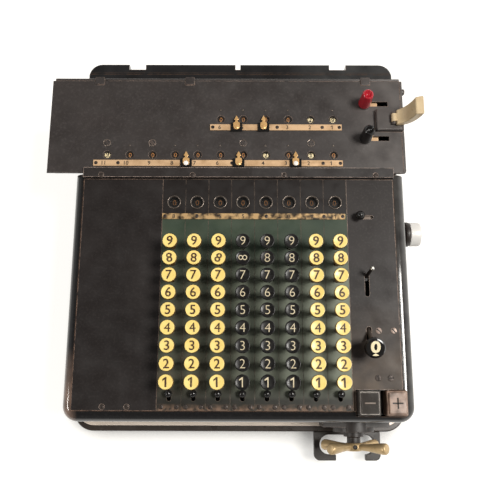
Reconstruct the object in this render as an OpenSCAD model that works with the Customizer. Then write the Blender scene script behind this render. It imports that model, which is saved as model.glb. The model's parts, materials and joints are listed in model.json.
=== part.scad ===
// Desk calculating machine: full keyboard, sliding register carriage, cross handle for the carriage shift.
// Millimetres, +Z up. Inside the modules x = 0 is the middle of the keyboard, y = 0 the row of check
// windows and z = 0 the table; machine() moves the finished node to the middle of the whole box.

/* [Keyboard] */
// Distance between key columns, also one carriage step
column_pitch = 19; // [18.5:0.5:21]
// Distance between key rows
row_pitch = 13.5; // [12.5:0.5:15]
// From the check windows to the row of nines
nines_gap = 38; // [36:1:44]
// Key cap diameter
key_d = 11.6; // [9:0.2:12]
// Key cap height
key_cap_h = 5; // [3:0.5:7]
// Height of the key tops above the plates
key_rise = 23.4; // [18:0.2:28]
// Key stem diameter
key_stem_d = 4; // [3:0.2:5]
// From the row of ones to the column clear buttons
button_gap = 8.5; // [8:0.5:12]
// Column clear button diameter
button_d = 6; // [4:0.5:6]
// Column clear button height
button_h = 6.6; // [5:0.2:8]
// Column clear button travel
button_travel = 4; // [2:0.5:4]
// Check window ring diameter
window_d = 11.6; // [10:0.2:14]

/* [Panels] */
// Width of the left panel
left_panel_w = 66; // [60:1:90]
// Width of the right panel
right_panel_w = 39; // [39:1:60]
// Thickness of panels and column plates
plate_t = 2; // [1.5:0.5:3]
// Plate in front of the column clear buttons
plate_front = 13; // [12:0.5:16]
// Plate behind the check windows
plate_rear = 20; // [18:1:30]
// Width of the ledge that carries the plates
ledge_w = 3.2; // [2.6:0.2:3.2]
// Panel screw head diameter
screw_d = 3.6; // [3:0.2:3.6]
// Head diameter of the four larger screws of the right panel
large_screw_d = 5; // [4:0.2:6]
// Panel screw shank diameter
shank_d = 1.6; // [1.2:0.2:2]

/* [Casing] */
// Height of the plates above the base plate
body_h = 80; // [78:1:110]
// Casing wall
wall = 3; // [2:0.5:4]
// Rim left of the panels
left_rim = 8; // [7:0.5:14]
// Rim right of the panels
right_rim = 10; // [8:0.5:14]
// Rim in front of the panels
front_rim = 8.5; // [8:0.1:16]
// Rim behind the panels, under the front rail
rear_rim = 4; // [4:0.5:8]
// Radius of the upright corners
corner_r = 12; // [10:1:20]
// Radius of the shoulder
shoulder_r = 8; // [4:0.5:9]
// Step down to the rear deck
deck_drop = 24; // [22:1:28]
// Deck behind the carriage
deck_rear = 22.5; // [18:0.5:40]
// Depth of the rear lip
lip_d = 8; // [7:0.5:14]
// Height of the rear lip
lip_h = 10; // [6:1:20]

/* [Base] */
// Foot height
foot_h = 14; // [8:1:20]
// Foot diameter
foot_d = 24; // [16:1:30]
// Base plate thickness
base_t = 6; // [4:1:10]
// Base plate beyond the casing at the sides
base_side = 10; // [9:0.5:20]
// Base plate beyond the casing at the front
base_front = 11.5; // [10:0.5:20]
// Width of the bright moulding round the casing
moulding_w = 6.5; // [4:0.5:8]
// Height of the moulding
moulding_h = 3; // [2:0.5:6]

/* [Carriage] */
// Carriage beyond the casing on the left
carriage_left = 22.5; // [10:0.5:40]
// Carriage beyond the casing on the right
carriage_right = 1.5; // [1:0.5:10]
// Carriage depth
carriage_d = 83.5; // [83.5:0.5:100]
// Carriage height
carriage_h = 20.5; // [20:0.5:24]
// Overhang of the cover in front of the carriage box
front_lip = 6.5; // [5:0.5:6.5]
// Sheet thickness of the carriage cover
sheet_t = 1.5; // [1:0.1:1.6]
// Height of the rails on the deck
rail_h = 6.5; // [6.2:0.1:8]
// From the carriage front to the result windows
result_gap = 16; // [15.5:0.5:20]
// From the result windows to the counter windows
counter_gap = 32; // [30:0.5:36]
// Register window diameter
register_d = 5.8; // [4:0.2:6]
// Number drum diameter in the carriage
dial_d = 15.2; // [13:0.2:15.4]
// Number strip width
strip_w = 5.2; // [4:0.2:5.4]
// Number strip thickness
strip_t = 1; // [0.6:0.1:1.2]
// Clear knob diameter
knob_d = 10.6; // [8:0.2:10.8]
// Clear knob height
knob_h = 19; // [14:1:30]
// From the carriage front to the red knob
red_gap = 62.2; // [58:0.2:66]
// From the carriage front to the black knob
black_gap = 30.9; // [29:0.1:32]
// Clear knob travel
knob_travel = 15; // [8:1:15]
// Thumb lever width
thumb_w = 16; // [12:0.5:18]
// Thumb lever height
thumb_h = 22.7; // [16:0.1:26]
// Length of its scoop
thumb_l = 17.5; // [14:0.5:20]

/* [Drive] */
// Drum shaft diameter
shaft_d = 8; // [6:0.5:9]
// Stepped drum diameter
drum_d = 28; // [24:1:30]
// Drum shaft in front of the check windows
drum_gap = 13; // [12:0.5:16]
// Side knob flange diameter
side_knob_d = 24; // [18:1:30]
// Side knob flange beyond the casing
knob_reach = 14.2; // [14:0.2:22]
// Length of the side knob's grip
knob_grip = 10; // [8:0.5:14]
// Check dial diameter
check_d = 22; // [16:0.5:22]
// Check dial width
check_w = 10; // [8:0.5:12]
// Dial spindle diameter
spindle_d = 4; // [3:0.2:5]
// Module of the drive gears
gear_module = 1.25; // [1.1:0.05:1.3]
// Motor diameter
motor_d = 40; // [30:1:44]

/* [Shift handle] */
// Handle arm length from the axis
arm_l = 32; // [24:1:33]
// Thickness of an arm at its end
arm_d = 9; // [6:0.5:10]
// From the keyboard's right edge to the handle axis
handle_gap = 7; // [6:0.5:9]
// Distance of the cross in front of the casing
handle_reach = 21.3; // [21:0.1:30]
// Width of the guard
guard_w = 58.6; // [56:0.2:70]
// Depth of the guard
guard_d = 24.5; // [24:0.5:34]

/* [Fits] */
// Radial running clearance of shafts
run_fit = 0.05; // [0.03:0.01:0.1]
// Gap between pieces that slide past one another
slide_gap = 0.3; // [0.3:0.05:0.4]

/* [Hidden] */
$fn = 32;
columns = 8;
rows = 9;
result_digits = 11;
counter_digits = 6;
carriage_steps = counter_digits - 1;

// Keyboard field
keys_x = columns * column_pitch / 2;
open_x0 = -keys_x - left_panel_w;
open_x1 = keys_x + right_panel_w;
strip_gap = 9.8;
keyboard_strip_w = 4.8;
strip_end = 1.5;
ones_y = -nines_gap - (rows - 1) * row_pitch;
button_y = ones_y - button_gap;
open_y0 = button_y - plate_front;
open_y1 = plate_rear;

// Screw places
screw_edge = 2.8;
plate_screw_x = 6;
panel_screw_at = [24, 43];
rail_screw_x = 15;

// Heights
base_z = foot_h + base_t;
top_z = base_z + body_h;
plate_z = top_z - plate_t;
ledge_t = 3;
ledge_z = plate_z - ledge_t;
front_ledge = screw_edge + 1.7;
deck_z = top_z - deck_drop;

// Casing outline
case_x0 = open_x0 - left_rim;
case_x1 = open_x1 + right_rim;
case_y0 = open_y0 - front_rim;
step_y = open_y1 + rear_rim;

// Carriage
car_x0 = case_x0 - carriage_left;
car_x1 = case_x1 + carriage_right;
car_y0 = step_y + 0.5;
car_y1 = car_y0 + carriage_d;
car_z0 = deck_z + rail_h;
car_z1 = car_z0 + carriage_h;
bed_t = 2;
last_x = keys_x - column_pitch / 2;
result_y = car_y0 + result_gap;
counter_y = result_y + counter_gap;
dial_z = car_z1 - sheet_t - 0.4 - dial_d / 2;
dial_w = 9;
result_strip_y = result_y - 10.2;
counter_strip_y = counter_y - 10.2;
marker_w = 9;
case_y1 = car_y1 + deck_rear;
lip_y = case_y1 + lip_d;
notch_at = [[0.16, 15], [0.492, 4.5], [0.8215, 15]];
notch_d = 5.5;
base_rear = 3.5;

// Rack and shift shaft: eight carriage steps to one turn
rack_teeth_per_step = 4;
shift_teeth = 32;
shift_module = column_pitch / (rack_teeth_per_step * PI);
shift_r = shift_module * shift_teeth / 2;
rack_back = 1.4;
rack_z = car_z0 - rack_back - 1.25 * shift_module;
shift_z = rack_z - shift_r;
shift_x = keys_x + handle_gap;
shift_y0 = car_y0 + 16;
shift_w = 8;
handle_y = case_y0 - handle_reach;
bearing_reach = 9;
bearing_y = case_y0 - bearing_reach;
bearing_w = 54;
bearing_h = 30;
bearing_rim = 13;
bearing_wall = 4.3;
bearing_step = 4;
handle_hub_r = 6.5;
handle_hub_w = 10;
shaft_seat = 3;
arm_root_r = 3.6;
arm_waist_r = 2.9;
arm_waist = 12;
arm_cap = 5;

// Inner frame
frame_t = 3;
frame_x0 = open_x0 + ledge_w + 1;
frame_x1 = open_x1 - ledge_w - 1;
guide_t = 2;
guide_drop = 26;
guide_z = top_z - guide_drop;
key_foot = 4;

// Drum shaft, gears and motor: the drive gear fills the room between base plate and key guide, and the
// motor stands off as far as its body and the gears need
drum_y = -drum_gap;
shaft_gap = 4;
drum_z = shift_z - shaft_d - shaft_gap;
drum_w = 14;
gear_clear = 1.5;
gear_room = min(drum_z - base_z, guide_z - drum_z) - gear_clear;
motor_gap = 6;
motor_clear = 8.2;
motor_end = 4;
motor_space = 3;
motor_bore = 12;
bore_end = 2;
motor_pin_r = 3;
pinion_teeth = 16;
drive_teeth = floor(2 * (gear_room / gear_module - 1));
teeth_sum = max(ceil((motor_d + shaft_d + 2 * motor_gap) / gear_module), drive_teeth + pinion_teeth);
motor_teeth = teeth_sum - drive_teeth;
gear_w = 8;
gear_side = 14;
gear_x0 = -keys_x - gear_side;
centre_d = gear_module * teeth_sum / 2;
motor_z = base_z + motor_d / 2 + motor_clear;
gear_angle = 180 - asin((motor_z - drum_z) / centre_d);
motor_y = drum_y + centre_d * cos(gear_angle);
check_z = plate_z - 1 - check_d / 2;

// Operation keys at the front of the right panel
minus_w = 16.9;
plus_w = 16;
plus_over = 1.5;
op_d = 19;
op_rise = 9.5;
op_front = 1.8;
op_gap = 0.6;
op_space = 4.6;
plus_x = open_x1 + plus_over - plus_w / 2;
minus_x = plus_x - plus_w / 2 - op_space - minus_w / 2;
op_y = case_y0 + wall + op_gap + op_front + op_d / 2;
frame_y0 = op_y + op_d / 2 + 2;

// Levers of the right panel
lever_x = keys_x + 14.5;
mode_y = -61.5;
mode_travel = 15;
dial_lever_x = keys_x + 10;
dial_lever_y = -12.5;
dial_lever_travel = 10;
zero_y = -93;
zero_z = guide_z + guide_t + 5;
zero_lean = 35.5;
zero_turn = 12;
zero_l = 48;
zero_stem_r = 1.8;
zero_pin_r = 2;
zero_hub_r = 4.2;
zero_hub_w = 8;
zero_knob_r = 8;
dial_ball_r = 3.8;
dial_ball_h = 6;
mode_ball_r = 2.1;
mode_pin_r = 1.5;
mode_pin_h = 13;

// Clear knobs and thumb lever on the carriage
clear_side = 17.4;
clear_x = keys_x + clear_side;
red_y = car_y0 + red_gap;
black_y = car_y0 + black_gap;
box_x0 = car_x1 - 24;
box_y0 = black_y + knob_d / 2 + 0.7;
box_y1 = red_y - knob_d / 2 - 0.7;
box_h = 4.5;
thumb_y = (box_y0 + box_y1) / 2;
thumb_r = 2.2;
thumb_x = car_x1 - 10;
thumb_z = car_z1 + box_h + slide_gap + thumb_r;
tongue_w = 7;
ear_w = 2;
pin_r = 1.2;
lug_at = [0.135, 0.393, 0.895];

// Front rail and guard
rail_foot_h = car_z1 + slide_gap - top_z;
rail_top_t = 2;
rail_lap = 4.5;
guard_r = 8.5;
guard_wall = 5;
guard_lap = 6;
guard_mouth = 26;
mouth_shift = 3;

// Side knob
knob_x = case_x1 + knob_reach;
knob_end = knob_x + knob_grip;

// Centre of the whole box
mid_x = (car_x0 + knob_end) / 2;
mid_y = (case_y0 - base_front - guard_d + lip_y) / 2;

black = [0.08, 0.08, 0.08];
steel = [0.65, 0.66, 0.68];
brass = [0.75, 0.6, 0.3];
green = [0.1, 0.22, 0.15];
ivory = [0.93, 0.82, 0.5];

// Shared shapes

module machine() {
    translate([-mid_x, -mid_y, 0]) children();
}

module block(x0, x1, y0, y1, z0, z1) {
    translate([x0, y0, z0]) cube([x1 - x0, y1 - y0, z1 - z0]);
}

module rod_x(x0, x1, y, z, r) {
    translate([x0, y, z]) rotate([0, 90, 0]) cylinder(r = r, h = x1 - x0);
}

module rod_y(x, y0, y1, z, r) {
    translate([x, y1, z]) rotate([90, 0, 0]) cylinder(r = r, h = y1 - y0);
}

module rod_z(x, y, z0, z1, r) {
    translate([x, y, z0]) cylinder(r = r, h = z1 - z0);
}

module round_rect(x0, x1, y0, y1, r) {
    translate([x0 + r, y0]) square([x1 - x0 - 2 * r, y1 - y0]);
    translate([x0, y0 + r]) square([x1 - x0, y1 - y0 - 2 * r]);
    for (x = [x0 + r, x1 - r], y = [y0 + r, y1 - r]) translate([x, y]) circle(r);
}

module round_block(x0, x1, y0, y1, z0, z1, r) {
    translate([0, 0, z0]) linear_extrude(z1 - z0) round_rect(x0, x1, y0, y1, r);
}

// Slot along x or y with round ends, cut from z0 to z1
module slot(x0, x1, y0, y1, z0, z1) {
    round_block(x0, x1, y0, y1, z0, z1, min(x1 - x0, y1 - y0) / 2 - 0.01);
}

function column_x(c) = (c - 0.5) * column_pitch - keys_x;
function row_y(r) = ones_y + (r - 1) * row_pitch;
function digit_x(d) = last_x - d * column_pitch;

// Involute gear profile
function inv_deg(a) = (tan(a) - a * PI / 180) * 180 / PI;
function flank(rb, r, half) = half + inv_deg(20) - inv_deg(acos(min(1, rb / r)));
function polar(r, a) = [r * cos(a), r * sin(a)];

module gear_profile(teeth, m, phase, play = 0.12) {
    rp = m * teeth / 2;
    rb = rp * cos(20);
    rf = rp - 1.25 * m;
    ra = rp + m;
    r0 = max(rb, rf);
    half = 90 / teeth - play / rp * 90 / PI;
    radii = [for (k = [0:3]) r0 + (ra - r0) * k / 3];
    polygon([for (i = [0:teeth - 1]) let (a = phase + i * 360 / teeth) each concat(
        [polar(rf, a - flank(rb, r0, half) - 0.3)],
        [for (r = radii) polar(r, a - flank(rb, r, half))],
        [for (k = [3:-1:0]) polar(radii[k], a + flank(rb, radii[k], half))],
        [polar(rf, a + flank(rb, r0, half) + 0.3)])]);
}

module gear_x(x0, w, y, z, teeth, m, phase) {
    translate([x0, y, z]) rotate([90, 0, 90]) linear_extrude(w) gear_profile(teeth, m, phase);
}

// Body

module base_plate() machine() color(black)
    round_block(case_x0 - base_side, case_x1 + base_side, case_y0 - base_front, case_y1 + base_rear,
        foot_h, base_z, 18);

module rubber_feet() machine() color(black)
    for (x = [case_x0 + foot_d, case_x1 - foot_d], y = [case_y0 + foot_d, case_y1 - foot_d])
        translate([x, y, 0]) rotate_extrude()
            polygon([[0, 0], [foot_d / 2 - 3, 0], [foot_d / 2, foot_h], [0, foot_h]]);

module foot_moulding() machine() color(steel)
    translate([0, 0, base_z]) linear_extrude(moulding_h) difference() {
        round_rect(case_x0 - moulding_w, case_x1 + moulding_w, case_y0 - moulding_w,
            case_y1 + base_rear - 0.5, corner_r + moulding_w / 2);
        round_rect(case_x0 - 0.05, case_x1 + 0.05, case_y0 - 0.05, case_y1 + 0.05, corner_r);
    }

// Corner post of the casing with its rounded top
module shoulder_post(x, y, z1) {
    translate([x, y, base_z]) cylinder(r = corner_r, h = z1 - base_z - shoulder_r);
    translate([x, y, z1 - shoulder_r]) rotate_extrude() intersection() {
        translate([corner_r - shoulder_r, 0]) circle(shoulder_r);
        square(corner_r);
    }
}

// Well in rim, ledge and right panel for the two operation keys
module key_well() {
    block(minus_x - minus_w / 2 - op_gap, plus_x + plus_w / 2 + op_gap, op_y - op_d / 2 - op_gap,
        op_y + op_d / 2 + op_gap, ledge_z - 1, top_z + 1);
}

module casing() machine() color(black) difference() {
    union() {
        hull() for (x = [case_x0 + corner_r, case_x1 - corner_r])
            for (y = [case_y0 + corner_r, step_y - corner_r]) shoulder_post(x, y, top_z);
        round_block(case_x0, case_x1, case_y0 + shoulder_r, case_y1, base_z, deck_z, corner_r);
        round_block(case_x0, case_x1, case_y1 - 2 * corner_r, lip_y, deck_z - lip_h, deck_z, corner_r);
        block(case_x0 + corner_r, case_x1 - corner_r, step_y - 2 * corner_r, step_y, deck_z - 1, top_z);
    }
    round_block(case_x0 + wall, case_x1 - wall, case_y0 + wall, step_y - wall, base_z - 1, ledge_z,
        corner_r - wall);
    round_block(case_x0 + wall, case_x1 - wall, case_y0 + wall, case_y1 - wall, base_z - 1, deck_z - wall,
        corner_r - wall);
    block(open_x0, open_x1, open_y0, open_y1, plate_z, top_z + 1);
    block(open_x0 + ledge_w, open_x1 - ledge_w, open_y0 + front_ledge, open_y1 - ledge_w, ledge_z - 1,
        top_z + 1);
    key_well();
    screw_shanks(0.1);
    rod_x(case_x1 - wall - 1, case_x1 + 1, drum_y, drum_z, shaft_d / 2 + slide_gap);
    rod_y(shift_x, case_y0 - 1, case_y0 + wall + 1, shift_z, shaft_d / 2 + slide_gap);
    block(shift_x - shift_r - 3, shift_x + shift_r + 3, shift_y0 - 2, shift_y0 + shift_w + 2,
        deck_z - wall - 1, deck_z + 1);
    for (n = notch_at) let (x = case_x0 + n[0] * (case_x1 - case_x0))
        block(x - n[1] / 2, x + n[1] / 2, lip_y - notch_d, lip_y + 1, deck_z - lip_h - 1, deck_z + 1);
}

// Screw places: x, y, the height under the head and the head diameter
function screw_places() = concat(
    [for (c = [1:columns], s = [-plate_screw_x, plate_screw_x])
        [column_x(c) + s, open_y0 + screw_edge, top_z, screw_d]],
    [for (x = panel_screw_at) [open_x0 + x, open_y0 + screw_edge, top_z, screw_d]],
    [for (k = [0:3]) [open_x0 + rail_screw_x + k * (open_x1 - open_x0 - 2 * rail_screw_x) / 3,
        step_y - rear_rim / 2, top_z + rail_foot_h + rail_top_t, screw_d]],
    [for (x = [16.8, 4.9]) [open_x1 - x, row_y(4), top_z, large_screw_d]],
    [for (x = [18.7, 9]) [open_x1 - x, ones_y + 3.7, top_z, large_screw_d]]);

module screw_shanks(play) {
    for (p = screw_places()) rod_z(p[0], p[1], ledge_z - 1, p[2] + 0.001, shank_d / 2 + play);
}

module panel_screws() machine() color(steel)
    for (p = screw_places()) {
        rod_z(p[0], p[1], ledge_z + 0.6, p[2], shank_d / 2);
        difference() {
            rod_z(p[0], p[1], p[2], p[2] + 0.7, p[3] / 2);
            block(p[0] - 0.3, p[0] + 0.3, p[1] - p[3], p[1] + p[3], p[2] + 0.3, p[2] + 1);
        }
    }

module left_panel() machine() color(black) difference() {
    block(open_x0 + 0.1, -keys_x - 0.1, open_y0 + 0.1, open_y1 - 0.1, plate_z, top_z);
    screw_shanks(0.1);
}

module right_panel() machine() color(black) difference() {
    block(keys_x + 0.1, open_x1 - 0.1, open_y0 + 0.1, open_y1 - 0.1, plate_z, top_z);
    key_well();
    screw_shanks(0.1);
    slot(lever_x - mode_pin_r - slide_gap, lever_x + mode_pin_r + slide_gap,
        mode_y - mode_travel - mode_pin_r - slide_gap, mode_y + mode_pin_r + slide_gap, plate_z - 1,
        top_z + 1);
    slot(dial_lever_x - 1.2 - slide_gap, dial_lever_x + dial_lever_travel + 1.2 + slide_gap,
        dial_lever_y - 1.2 - slide_gap, dial_lever_y + 1.2 + slide_gap, plate_z - 1, top_z + 1);
    slot(lever_x - zero_stem_r - slide_gap, lever_x + zero_stem_r + slide_gap,
        zero_y - (top_z - zero_z) * tan(zero_lean + zero_turn) - 3.2,
        zero_y - (plate_z - zero_z) * tan(zero_lean) + 2.8, plate_z - 1, top_z + 1);
}

module column_plates() machine() color(green)
    for (c = [1:columns]) difference() {
        block(column_x(c) - column_pitch / 2 + 0.1, column_x(c) + column_pitch / 2 - 0.1, open_y0 + 0.1,
            open_y1 - 0.1, plate_z, top_z);
        for (r = [1:rows])
            rod_z(column_x(c), row_y(r), plate_z - 1, top_z + 1, key_stem_d / 2 + slide_gap);
        rod_z(column_x(c), 0, plate_z - 1, top_z + 1, window_d / 2 - 0.9);
        slot(column_x(c) - 1.5 - slide_gap, column_x(c) + 1.5 + slide_gap,
            button_y - button_travel - 1.5 - slide_gap, button_y + 1.5 + slide_gap, plate_z - 1, top_z + 1);
        screw_shanks(0.1);
    }

module keyboard_strip() machine() color(brass)
    block(-keys_x, keys_x - strip_end, -strip_gap - keyboard_strip_w, -strip_gap, top_z, top_z + strip_t);

module window_rings() machine() color(steel)
    for (c = [1:columns]) translate([column_x(c), 0, top_z]) rotate_extrude()
        polygon([[window_d / 2 - 1.5, -plate_t + 0.3], [window_d / 2 - 0.95, -plate_t + 0.3],
            [window_d / 2 - 0.95, 0], [window_d / 2, 0], [window_d / 2 - 0.3, 0.9],
            [window_d / 2 - 1.5, 0.9]]);

module window_glasses() machine() color([0.8, 0.85, 0.85])
    for (c = [1:columns])
        rod_z(column_x(c), 0, plate_z + 0.4, plate_z + 1.4, window_d / 2 - 1.55);

module front_rail() machine() color(black) difference() {
    union() {
        block(open_x0, open_x1, open_y1 + 0.2, step_y - 0.2, top_z, top_z + rail_foot_h);
        block(open_x0, open_x1, open_y1 + 0.2, step_y + rail_lap, top_z + rail_foot_h,
            top_z + rail_foot_h + rail_top_t);
    }
    screw_shanks(0.1);
}

module deck_rails() machine() color(steel)
    for (y = [car_y0 + front_lip + 0.5, car_y1 - 10])
        block(case_x0 + corner_r, case_x1 - corner_r, y, y + 6, deck_z, car_z0 - slide_gap);

module handle_guard() machine() color(black) {
    y1 = case_y0 - base_front;
    y0 = y1 - guard_d;
    cut_x = guard_w / 2 - guard_wall;
    translate([0, 0, foot_h]) linear_extrude(base_t) difference() {
        union() {
            round_rect(shift_x - guard_w / 2, shift_x + guard_w / 2, y0, y1, guard_wall);
            translate([shift_x - guard_w / 2, y1 - guard_lap]) square([guard_w, guard_lap]);
        }
        round_rect(shift_x - cut_x, shift_x + cut_x, y0 + guard_wall, y0 + guard_wall + 2 * guard_r,
            guard_r - 0.01);
        translate([shift_x - guard_mouth / 2 + mouth_shift, y0 - 1]) square([guard_mouth, guard_wall + 3]);
    }
}

module shift_bearing() machine() color(black) difference() {
    union() {
        block(shift_x - bearing_w / 2, shift_x + bearing_w / 2, bearing_y + bearing_step, case_y0,
            shift_z - bearing_h / 2, shift_z + bearing_h / 2);
        rod_y(shift_x, bearing_y, case_y0, shift_z, shaft_d / 2 + bearing_rim);
        rod_y(shift_x, bearing_y - bearing_step, case_y0, shift_z, shaft_d / 2 + bearing_wall);
    }
    rod_y(shift_x, bearing_y - bearing_step - 1, case_y0 + 1, shift_z, shaft_d / 2 + run_fit);
}

// Two side plates, the key guide between them and the rear bearing of the shift shaft
module inner_frame() machine() color(steel) {
    for (x = [frame_x0, frame_x1 - frame_t]) difference() {
        block(x, x + frame_t, frame_y0, open_y1 - 5, base_z, ledge_z - 0.5);
        rod_x(x - 1, x + frame_t + 1, drum_y, drum_z, shaft_d / 2 + run_fit);
        rod_x(x - 1, x + frame_t + 1, 0, check_z, spindle_d / 2 + run_fit);
    }
    rod_x(lever_x - zero_hub_w / 2 - 1, frame_x1 - frame_t, zero_y, zero_z, zero_pin_r);
    difference() {
        union() {
            block(frame_x0 + frame_t, frame_x1 - frame_t, frame_y0 - 1, -30, guide_z, guide_z + guide_t);
            block(frame_x0, frame_x1, op_y - op_d / 2, frame_y0, guide_z, guide_z + guide_t);
        }
        for (c = [1:columns], r = [1:rows])
            rod_z(column_x(c), row_y(r), guide_z - 1, guide_z + guide_t + 1, key_stem_d / 2 + slide_gap);
        for (x = [minus_x, plus_x]) rod_z(x, op_y, guide_z - 1, guide_z + guide_t + 1, 2.5 + slide_gap);
    }
    difference() {
        block(shift_x - 20, shift_x + 20, shift_y0 - 10, shift_y0 - 5, base_z, shift_z + 12);
        rod_y(shift_x, shift_y0 - 11, shift_y0 - 4, shift_z, shaft_d / 2 + run_fit);
    }
}

module motor() machine() color(steel) difference() {
    x0 = frame_x0 + frame_t + motor_end;
    x1 = gear_x0 - motor_space;
    union() {
        rod_x(x0, x1, motor_y, motor_z, motor_d / 2);
        block(x0 + 4, x1 - 4, motor_y - motor_d * 0.35, motor_y + motor_d * 0.35, base_z, motor_z);
    }
    rod_x(x1 - motor_bore, x1 + 1, motor_y, motor_z, motor_pin_r + run_fit);
}

// Drive

module drum_shaft() machine() color(steel) {
    difference() {
        gear_x(gear_x0, gear_w, drum_y, drum_z, drive_teeth, gear_module, gear_angle);
        rod_x(gear_x0 - 1, gear_x0 + gear_w + 1, drum_y, drum_z, shaft_d / 4);
    }
    rod_x(frame_x0 - 2, knob_x + 4, drum_y, drum_z, shaft_d / 2);
}

module stepped_drums() machine() color(steel)
    for (c = [1:columns]) difference() {
        union() {
            rod_x(column_x(c) - drum_w / 2, column_x(c) + drum_w / 2, drum_y, drum_z, drum_d / 2 - 3);
            for (k = [1:9]) translate([column_x(c) - drum_w / 2, drum_y, drum_z]) rotate([20 * k - 10, 0, 0])
                translate([0, -0.9, drum_d / 2 - 4]) cube([drum_w * k / 9, 1.8, 4]);
        }
        rod_x(column_x(c) - drum_w, column_x(c) + drum_w, drum_y, drum_z, shaft_d / 2 + 0.02);
    }

module side_knob() machine() color(steel) difference() {
    union() {
        rod_x(case_x1 + 2, knob_x, drum_y, drum_z, shaft_d / 2 + 3);
        rod_x(knob_x, knob_x + 3, drum_y, drum_z, side_knob_d / 2);
        rod_x(knob_x + 3, knob_end, drum_y, drum_z, side_knob_d / 2 - 1.5);
    }
    rod_x(case_x1, knob_x + 4, drum_y, drum_z, shaft_d / 2 + 0.02);
}

module motor_pinion() machine() color(steel) {
    gear_x(gear_x0, gear_w, motor_y, motor_z, motor_teeth, gear_module,
        gear_angle + 180 + 180 / motor_teeth);
    rod_x(gear_x0 - motor_space - motor_bore + bore_end, gear_x0 + 1, motor_y, motor_z, motor_pin_r);
}

// Number drums on their spindle
module dials(x_list, y, z, d, w, x0, x1) {
    for (x = x_list) difference() {
        rod_x(x - w / 2, x + w / 2, y, z, d / 2);
        rod_x(x - w, x + w, y, z, spindle_d / 2 + 0.02);
    }
    rod_x(x0, x1, y, z, spindle_d / 2);
}

module check_dials() machine() color(black)
    dials([for (c = [1:columns]) column_x(c)], 0, check_z, check_d, check_w, frame_x0 - 0.5, frame_x1 + 0.5);

// Keys and levers

module keys_column(c) machine() color(c < 4 || c > 6 ? ivory : black)
    for (r = [1:rows]) translate([column_x(c), row_y(r), top_z]) rotate_extrude()
        polygon([[0, -guide_drop - key_foot], [key_stem_d / 2, -guide_drop - key_foot],
            [key_stem_d / 2, key_rise - key_cap_h - 2], [key_d / 2 - 1.6, key_rise - key_cap_h],
            [key_d / 2, key_rise - key_cap_h + 0.8], [key_d / 2, key_rise - 0.7],
            [key_d / 2 - 0.7, key_rise], [0, key_rise]]);

module clear_button(c) machine() color(black) {
    rod_z(column_x(c), button_y, ledge_z - 4, top_z + 2, 1.5);
    translate([column_x(c), button_y, top_z + 1]) rotate_extrude() polygon([[0, 0], [0.4 * button_d, 0],
        [button_d / 2, 0.5 * button_h], [button_d / 2, 0.75 * button_h], [0.26 * button_d, 0.95 * button_h],
        [0, button_h]]);
}

module operation_key(x, w) {
    block(x - w / 2, x + w / 2, op_y - op_d / 2, op_y + op_d / 2, guide_z + 18, top_z + op_rise - 2);
    block(x - w / 2 + 1.5, x + w / 2 - 1.5, op_y - op_d / 2 + 1.5, op_y + op_d / 2 - 1.5,
        top_z + op_rise - 3, top_z + op_rise);
    rod_z(x, op_y, guide_z - 3, guide_z + 19, 2.5);
}

module minus_key() machine() color(black) operation_key(minus_x, minus_w);

module plus_key() machine() color([0.5, 0.42, 0.36]) operation_key(plus_x, plus_w);

module zero_lever() machine() color(black)
    translate([lever_x, zero_y, zero_z]) rotate([zero_lean, 0, 0]) difference() {
        union() {
            cylinder(r = zero_stem_r, h = zero_l - 2);
            rod_x(-zero_hub_w / 2, zero_hub_w / 2, 0, 0, zero_hub_r);
            translate([0, 0, zero_l - 2]) rotate([-zero_lean + 12, 0, 0]) rotate_extrude()
                scale(zero_knob_r) polygon([[0, -0.5], [0.5, -0.5], [1, 0], [1, 0.5], [0.875, 0.625],
                    [0, 0.675]]);
        }
        rod_x(-zero_hub_w, zero_hub_w, 0, 0, zero_pin_r + run_fit);
    }

module mode_lever() machine() color(steel) {
    rod_z(lever_x, mode_y, ledge_z - 4, top_z + mode_pin_h, mode_pin_r);
    translate([lever_x, mode_y, top_z + mode_pin_h]) sphere(mode_ball_r);
    block(lever_x - 4, lever_x + 4, mode_y - 4, mode_y + 4, ledge_z - 3, plate_z - slide_gap);
}

module dial_lever() machine() color(black) {
    rod_z(dial_lever_x, dial_lever_y, ledge_z - 4, top_z + dial_ball_h, 1.2);
    translate([dial_lever_x, dial_lever_y, top_z + dial_ball_h]) sphere(dial_ball_r);
    block(dial_lever_x - 3, dial_lever_x + 3, dial_lever_y - 3, dial_lever_y + 3, ledge_z - 3,
        plate_z - slide_gap);
}

// Carriage

function result_x() = [for (d = [0:result_digits - 1]) digit_x(d)];
function counter_x() = [for (d = [0:counter_digits - 1]) digit_x(d)];

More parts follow.
